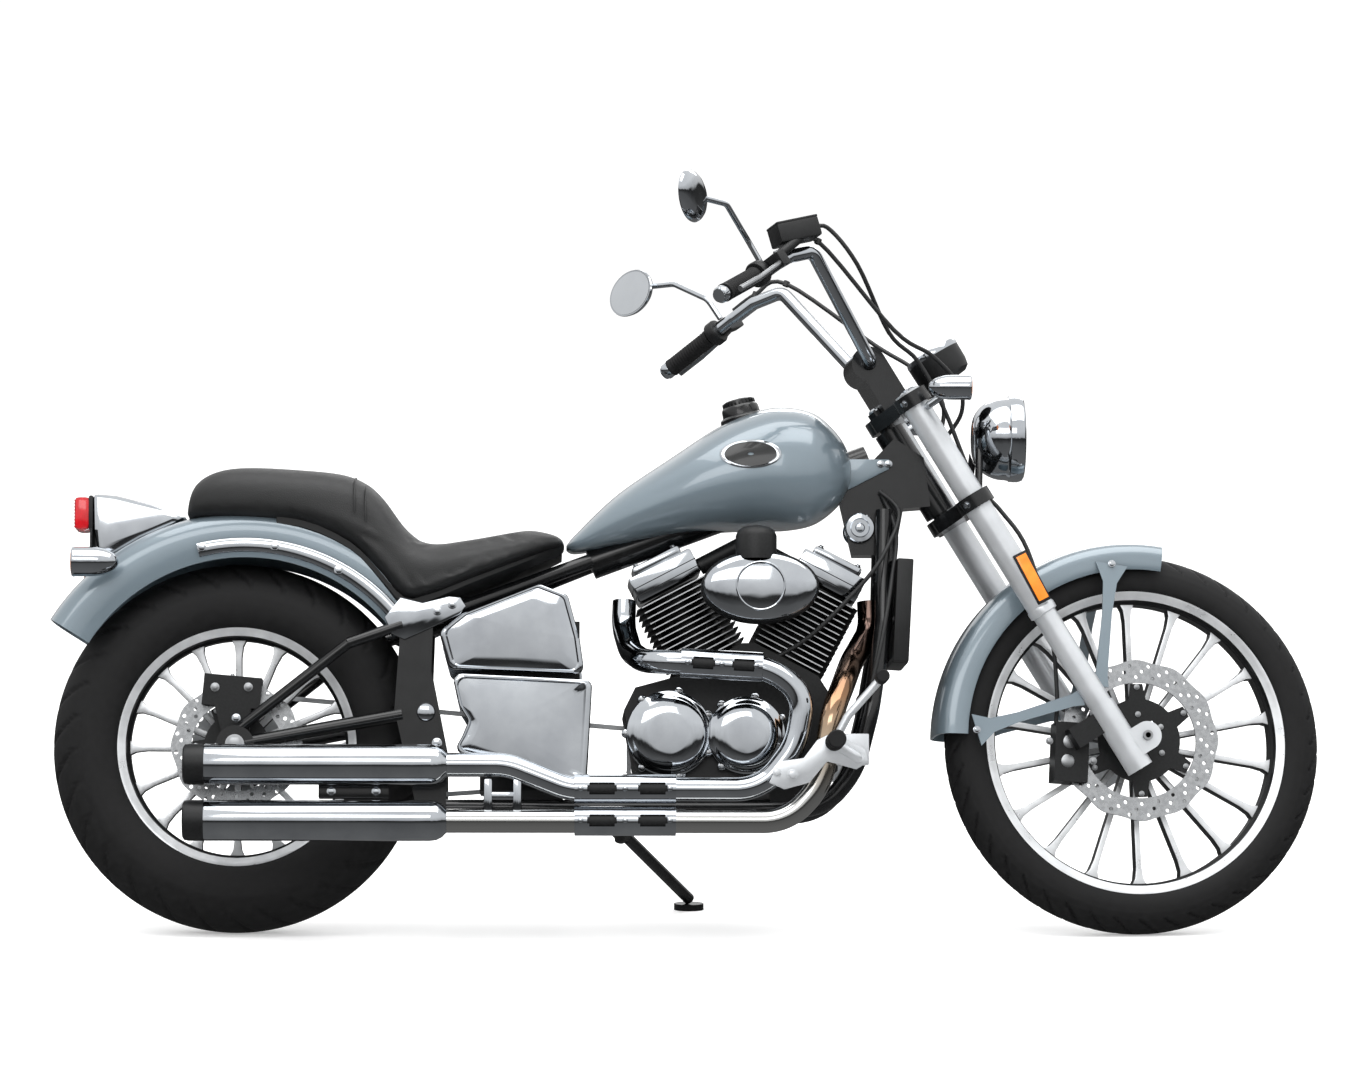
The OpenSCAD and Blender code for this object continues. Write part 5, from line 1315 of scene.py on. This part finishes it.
def grained_vinyl():
    """Embossed vinyl: a leather-like grain that breaks up a soft sheen, wider than real so that it shows."""
    made, tree, shader = surface("grained_black_vinyl", "0D0E0F", roughness=0.55)
    where = vary(tree, shader, 16.7, ("0B0C0D", "131415"), (0.48, 0.66))
    grain = add(tree, "TexVoronoi", {"Vector": where, "Scale": 1000 / GRAIN_MM}).outputs["Distance"]
    relief = add(tree, "Bump", {"Height": grain, "Strength": 0.45, "Distance": 0.0006}).outputs[0]
    tree.links.new(relief, shader.inputs["Normal"])
    return made


VINYL = grained_vinyl()
seat = bmesh.new()
skin(seat, [section(row, SEAT_SQUARE, SEAT_BELLY, 56, 1000 * PUFF_M) for row in smooth(SEAT, 5)])
bmesh.ops.transform(seat, matrix=BIKE, verts=seat.verts)
bmesh.ops.recalc_face_normals(seat, faces=seat.faces)
seat_mesh = bpy.data.meshes.new("seat")
seat.to_mesh(seat_mesh)
seat.free()
cushion = bpy.data.objects.new("seat_cushion", seat_mesh)
bpy.context.scene.collection.objects.link(cushion)
bpy.context.view_layer.objects.active = cushion
cushion.select_set(True)
mesher = cushion.modifiers.new("even", "REMESH")
mesher.mode, mesher.voxel_size = "VOXEL", CLOTH_M
bpy.ops.object.modifier_apply(modifier="even")
held = cushion.vertex_groups.new(name="held")
held.add([v.index for v in cushion.data.vertices if v.normal.z < -0.35], 1.0, "REPLACE")
start_at = [v.co.copy() for v in cushion.data.vertices]
cloth = cushion.modifiers.new("vinyl", "CLOTH")
cloth.settings.use_pressure = True
cloth.settings.uniform_pressure_force = 4.0
cloth.settings.tension_stiffness = cloth.settings.compression_stiffness = 40
cloth.settings.bending_stiffness = 2.0
cloth.settings.vertex_group_mass = "held"
cloth.settings.effector_weights.gravity = 0.0
cloth.point_cache.frame_start, cloth.point_cache.frame_end = 1, SETTLE
for tick in range(1, SETTLE + 1):
    bpy.context.scene.frame_set(tick)
bpy.ops.object.modifier_apply(modifier="vinyl")
bpy.context.scene.frame_set(1)
for v, was in zip(cushion.data.vertices, start_at):
    moved = v.co - was
    if moved.length > PUFF_M:
        v.co = was + moved.normalized() * PUFF_M
soft = cushion.modifiers.new("soft", "SUBSURF")
soft.levels = soft.render_levels = 1
bpy.ops.object.modifier_apply(modifier="soft")
cushion.data.materials.clear()
cushion.data.materials.append(VINYL)
cushion.data.shade_smooth()
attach(cushion, "chassis")
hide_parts("seat")
pan = bmesh.new()
rings = []
for x, low, _, half in smooth(SEAT, 3)[8:-2]:
    rings.append([Vector((x, half * y, low + z))
                  for y, z in ((-0.7, -9), (-0.8, 4), (-0.8, 16), (0.8, 16), (0.8, 4), (0.7, -9))])
skin(pan, rings)
piece("seat_base", pan, BIKE, "chassis", [PLASTIC], sharp=40)
seams = bmesh.new()
for x in (212, 232):
    _, low, high, half = min(smooth(SEAT, 5), key=lambda row: abs(row[0] - x))
    ring = [p for p in section((x, low, high, half), SEAT_SQUARE, SEAT_BELLY, 72, 0.6)
            if p.z > low + 0.42 * (high - low)]
    ring.sort(key=lambda p: p.y)
    sweep(seams, ring, 1.6, 8)
piece("seat_seams", seams, BIKE, "chassis", [VINYL], sharp=60)

# ---- Side covers and battery box ----
# Chromed pressed covers in two tiers, dished inside a raised border, clipped over a black moulded box
# behind the engine.
UPPER_COVER = [(384, 472), (629, 462), (620, 526), (598, 606), (546, 626), (407, 571), (366, 538)]
LOWER_COVER = [(389, 464), (643, 452), (633, 265), (570, 265), (394, 324), (408, 349), (420, 378), (402, 407)]
coat(PLASTIC, "battery_box")


def inset(outline, share):
    x, z = (sum(p[k] for p in outline) / len(outline) for k in (0, 1))
    return [(x + (p[0] - x) * share, z + (p[1] - z) * share) for p in outline]


def softened(outline, radius):
    points = [Vector((x, 0, z)) for x, z in outline]
    line = rounded([(points[0] + points[1]) / 2] + points[1:] + [points[0], (points[0] + points[1]) / 2],
                   radius, 5)[:-1]
    return [(p.x, p.z) for p in line]


covers = bmesh.new()
for outline, low, high in ((UPPER_COVER, 124, 150), (LOWER_COVER, 124, 156)):
    middle = [sum(p[k] for p in outline) / len(outline) for k in (0, 1)]
    for side in SIDES:
        base = 132 if side > 0 and outline is LOWER_COVER else low
        top = 150 if side > 0 else high
        rings = []
        for share, drop in ((0.998, base - top), (0.998, -7), (0.985, -2), (0.965, -0.4), (0.93, -0.4),
                            (0.905, -3.5), (0.8, -4), (0.65, -4), (0.5, -4), (0.35, -4), (0.2, -4),
                            (0.06, -4)):
            ring = []
            for x, z in softened(inset(outline, share), 14):
                along, up = (x - middle[0]) / 140, (z - middle[1]) / 100
                bulge = 4 * max(0, 1 - along ** 2) * max(0, 1 - up ** 2) if share < 0.9 else 0
                ring.append(Vector((x, side * (top + drop + bulge), z)))
            rings.append(ring)
        skin(covers, rings)
piece("side_covers", covers, BIKE, "chassis", [CHROME], ["side_covers"], sharp=35)

# ---- Rear fender ----
# The same pressed and lacquered steel as the front, wider and deeper, with chromed struts bolted to
# its sides and to the frame.
REAR_FENDER_AT, REAR_FENDER_R, REAR_FENDER_HALF = Vector((15, 0, 345)), 420, 98
rear_fender = bmesh.new()
fender_shell(rear_fender, REAR_FENDER_AT, REAR_FENDER_R, REAR_FENDER_HALF, 86, FENDER_T, 38, 148)
piece("rear_fender", rear_fender, BIKE, "chassis", [PAINT], ["rear_fender"], sharp=40)
struts = bmesh.new()
for side in SIDES:
    rings = []
    for k in range(61):
        a = math.radians(36 + 68 * k / 60)
        rings.append([REAR_FENDER_AT + Vector((r * math.cos(a), side * y, r * math.sin(a)))
                      for r, y in [(354.5 - 13 * math.cos(math.radians(t)),
                                    99.4 + 5 * math.sin(math.radians(t)) ** 0.7)
                                   for t in range(0, 181, 15)]])
    skin(struts, rings)
    for x, z in ((-64, 694), (68, 696), (184, 653), (284, 567)):
        bolt(struts, (x, side * 103.2, z), (0, side, 0), 7.5, head=4)
    slab(struts, [(268, 566), (280, 536), (304, 526), (344, 544), (404, 572), (414, 586), (404, 602),
                  (384, 604), (336, 592), (296, 602)], 120.6, 127.6,
         upright(side), 1.5)
    for x, z in ((363, 577), (390, 589)):
        bolt(struts, (x, side * 127.4, z), (0, side, 0), 7, head=4)
piece("fender_struts", struts, BIKE, "chassis", [CHROME], ["fender_struts"], sharp=40)

# ---- Tail light, rear signals and plate bracket ----
# A chromed housing on the fender with a ribbed red lens in a black frame, bullet signals on stems, and a
# blank black bracket with two holes.
# Red lens plastic: a saturated red, deep and wet-looking.
RED_LENS = enamel("moulded_red_lens", "B0121C", "A81019", "B8161F", 0.14, 0.6)
tail = bmesh.new()
housing = [(-266, 798), (-225, 795), (-160, 779), (-96, 756), (-120, 743), (-180, 717), (-225, 690),
           (-248, 673), (-258, 700), (-264, 730)]
slab(tail, housing, -42, 42, upright(1), 9.0, 0)
block(tail, Matrix.Translation((-270, 0, 764)), (8, 84, 62), 3, 1)
block(tail, Matrix.Translation((-286, 0, 763)), (28, 82, 60), 9, 2)
for k in range(9):
    block(tail, Matrix.Translation((-300.2, 0, 739 + 6 * k)), (1.2, 68, 2.2), 0.4, 2)
holes = [circle(side * 50, 0, 3.25, 24) for side in SIDES]
pierced(tail, [(-62, -33), (62, -33), (62, 33), (-62, 33)], holes, -1.5, 1.5,
        Matrix(((0, 0, 1, -268), (1, 0, 0, 0), (0, 1, 0, 700), (0, 0, 0, 1))), 1)
piece("tail_light", tail, BIKE, "chassis", [CHROME, PLASTIC, RED_LENS], ["tail_light"], sharp=35)
signals = bmesh.new()
for side in SIDES:
    bullet(signals, facing((-210, side * 150, 663), (-1, 0, 0)), 26.6, 86)
    sweep(signals, [(-232, side * 128, 663), (-232, side * 98.8, 663)], 8.6, 24, 0)
piece("rear_signals", signals, BIKE, "chassis", [CHROME, AMBER], ["rear_signals"], sharp=40)
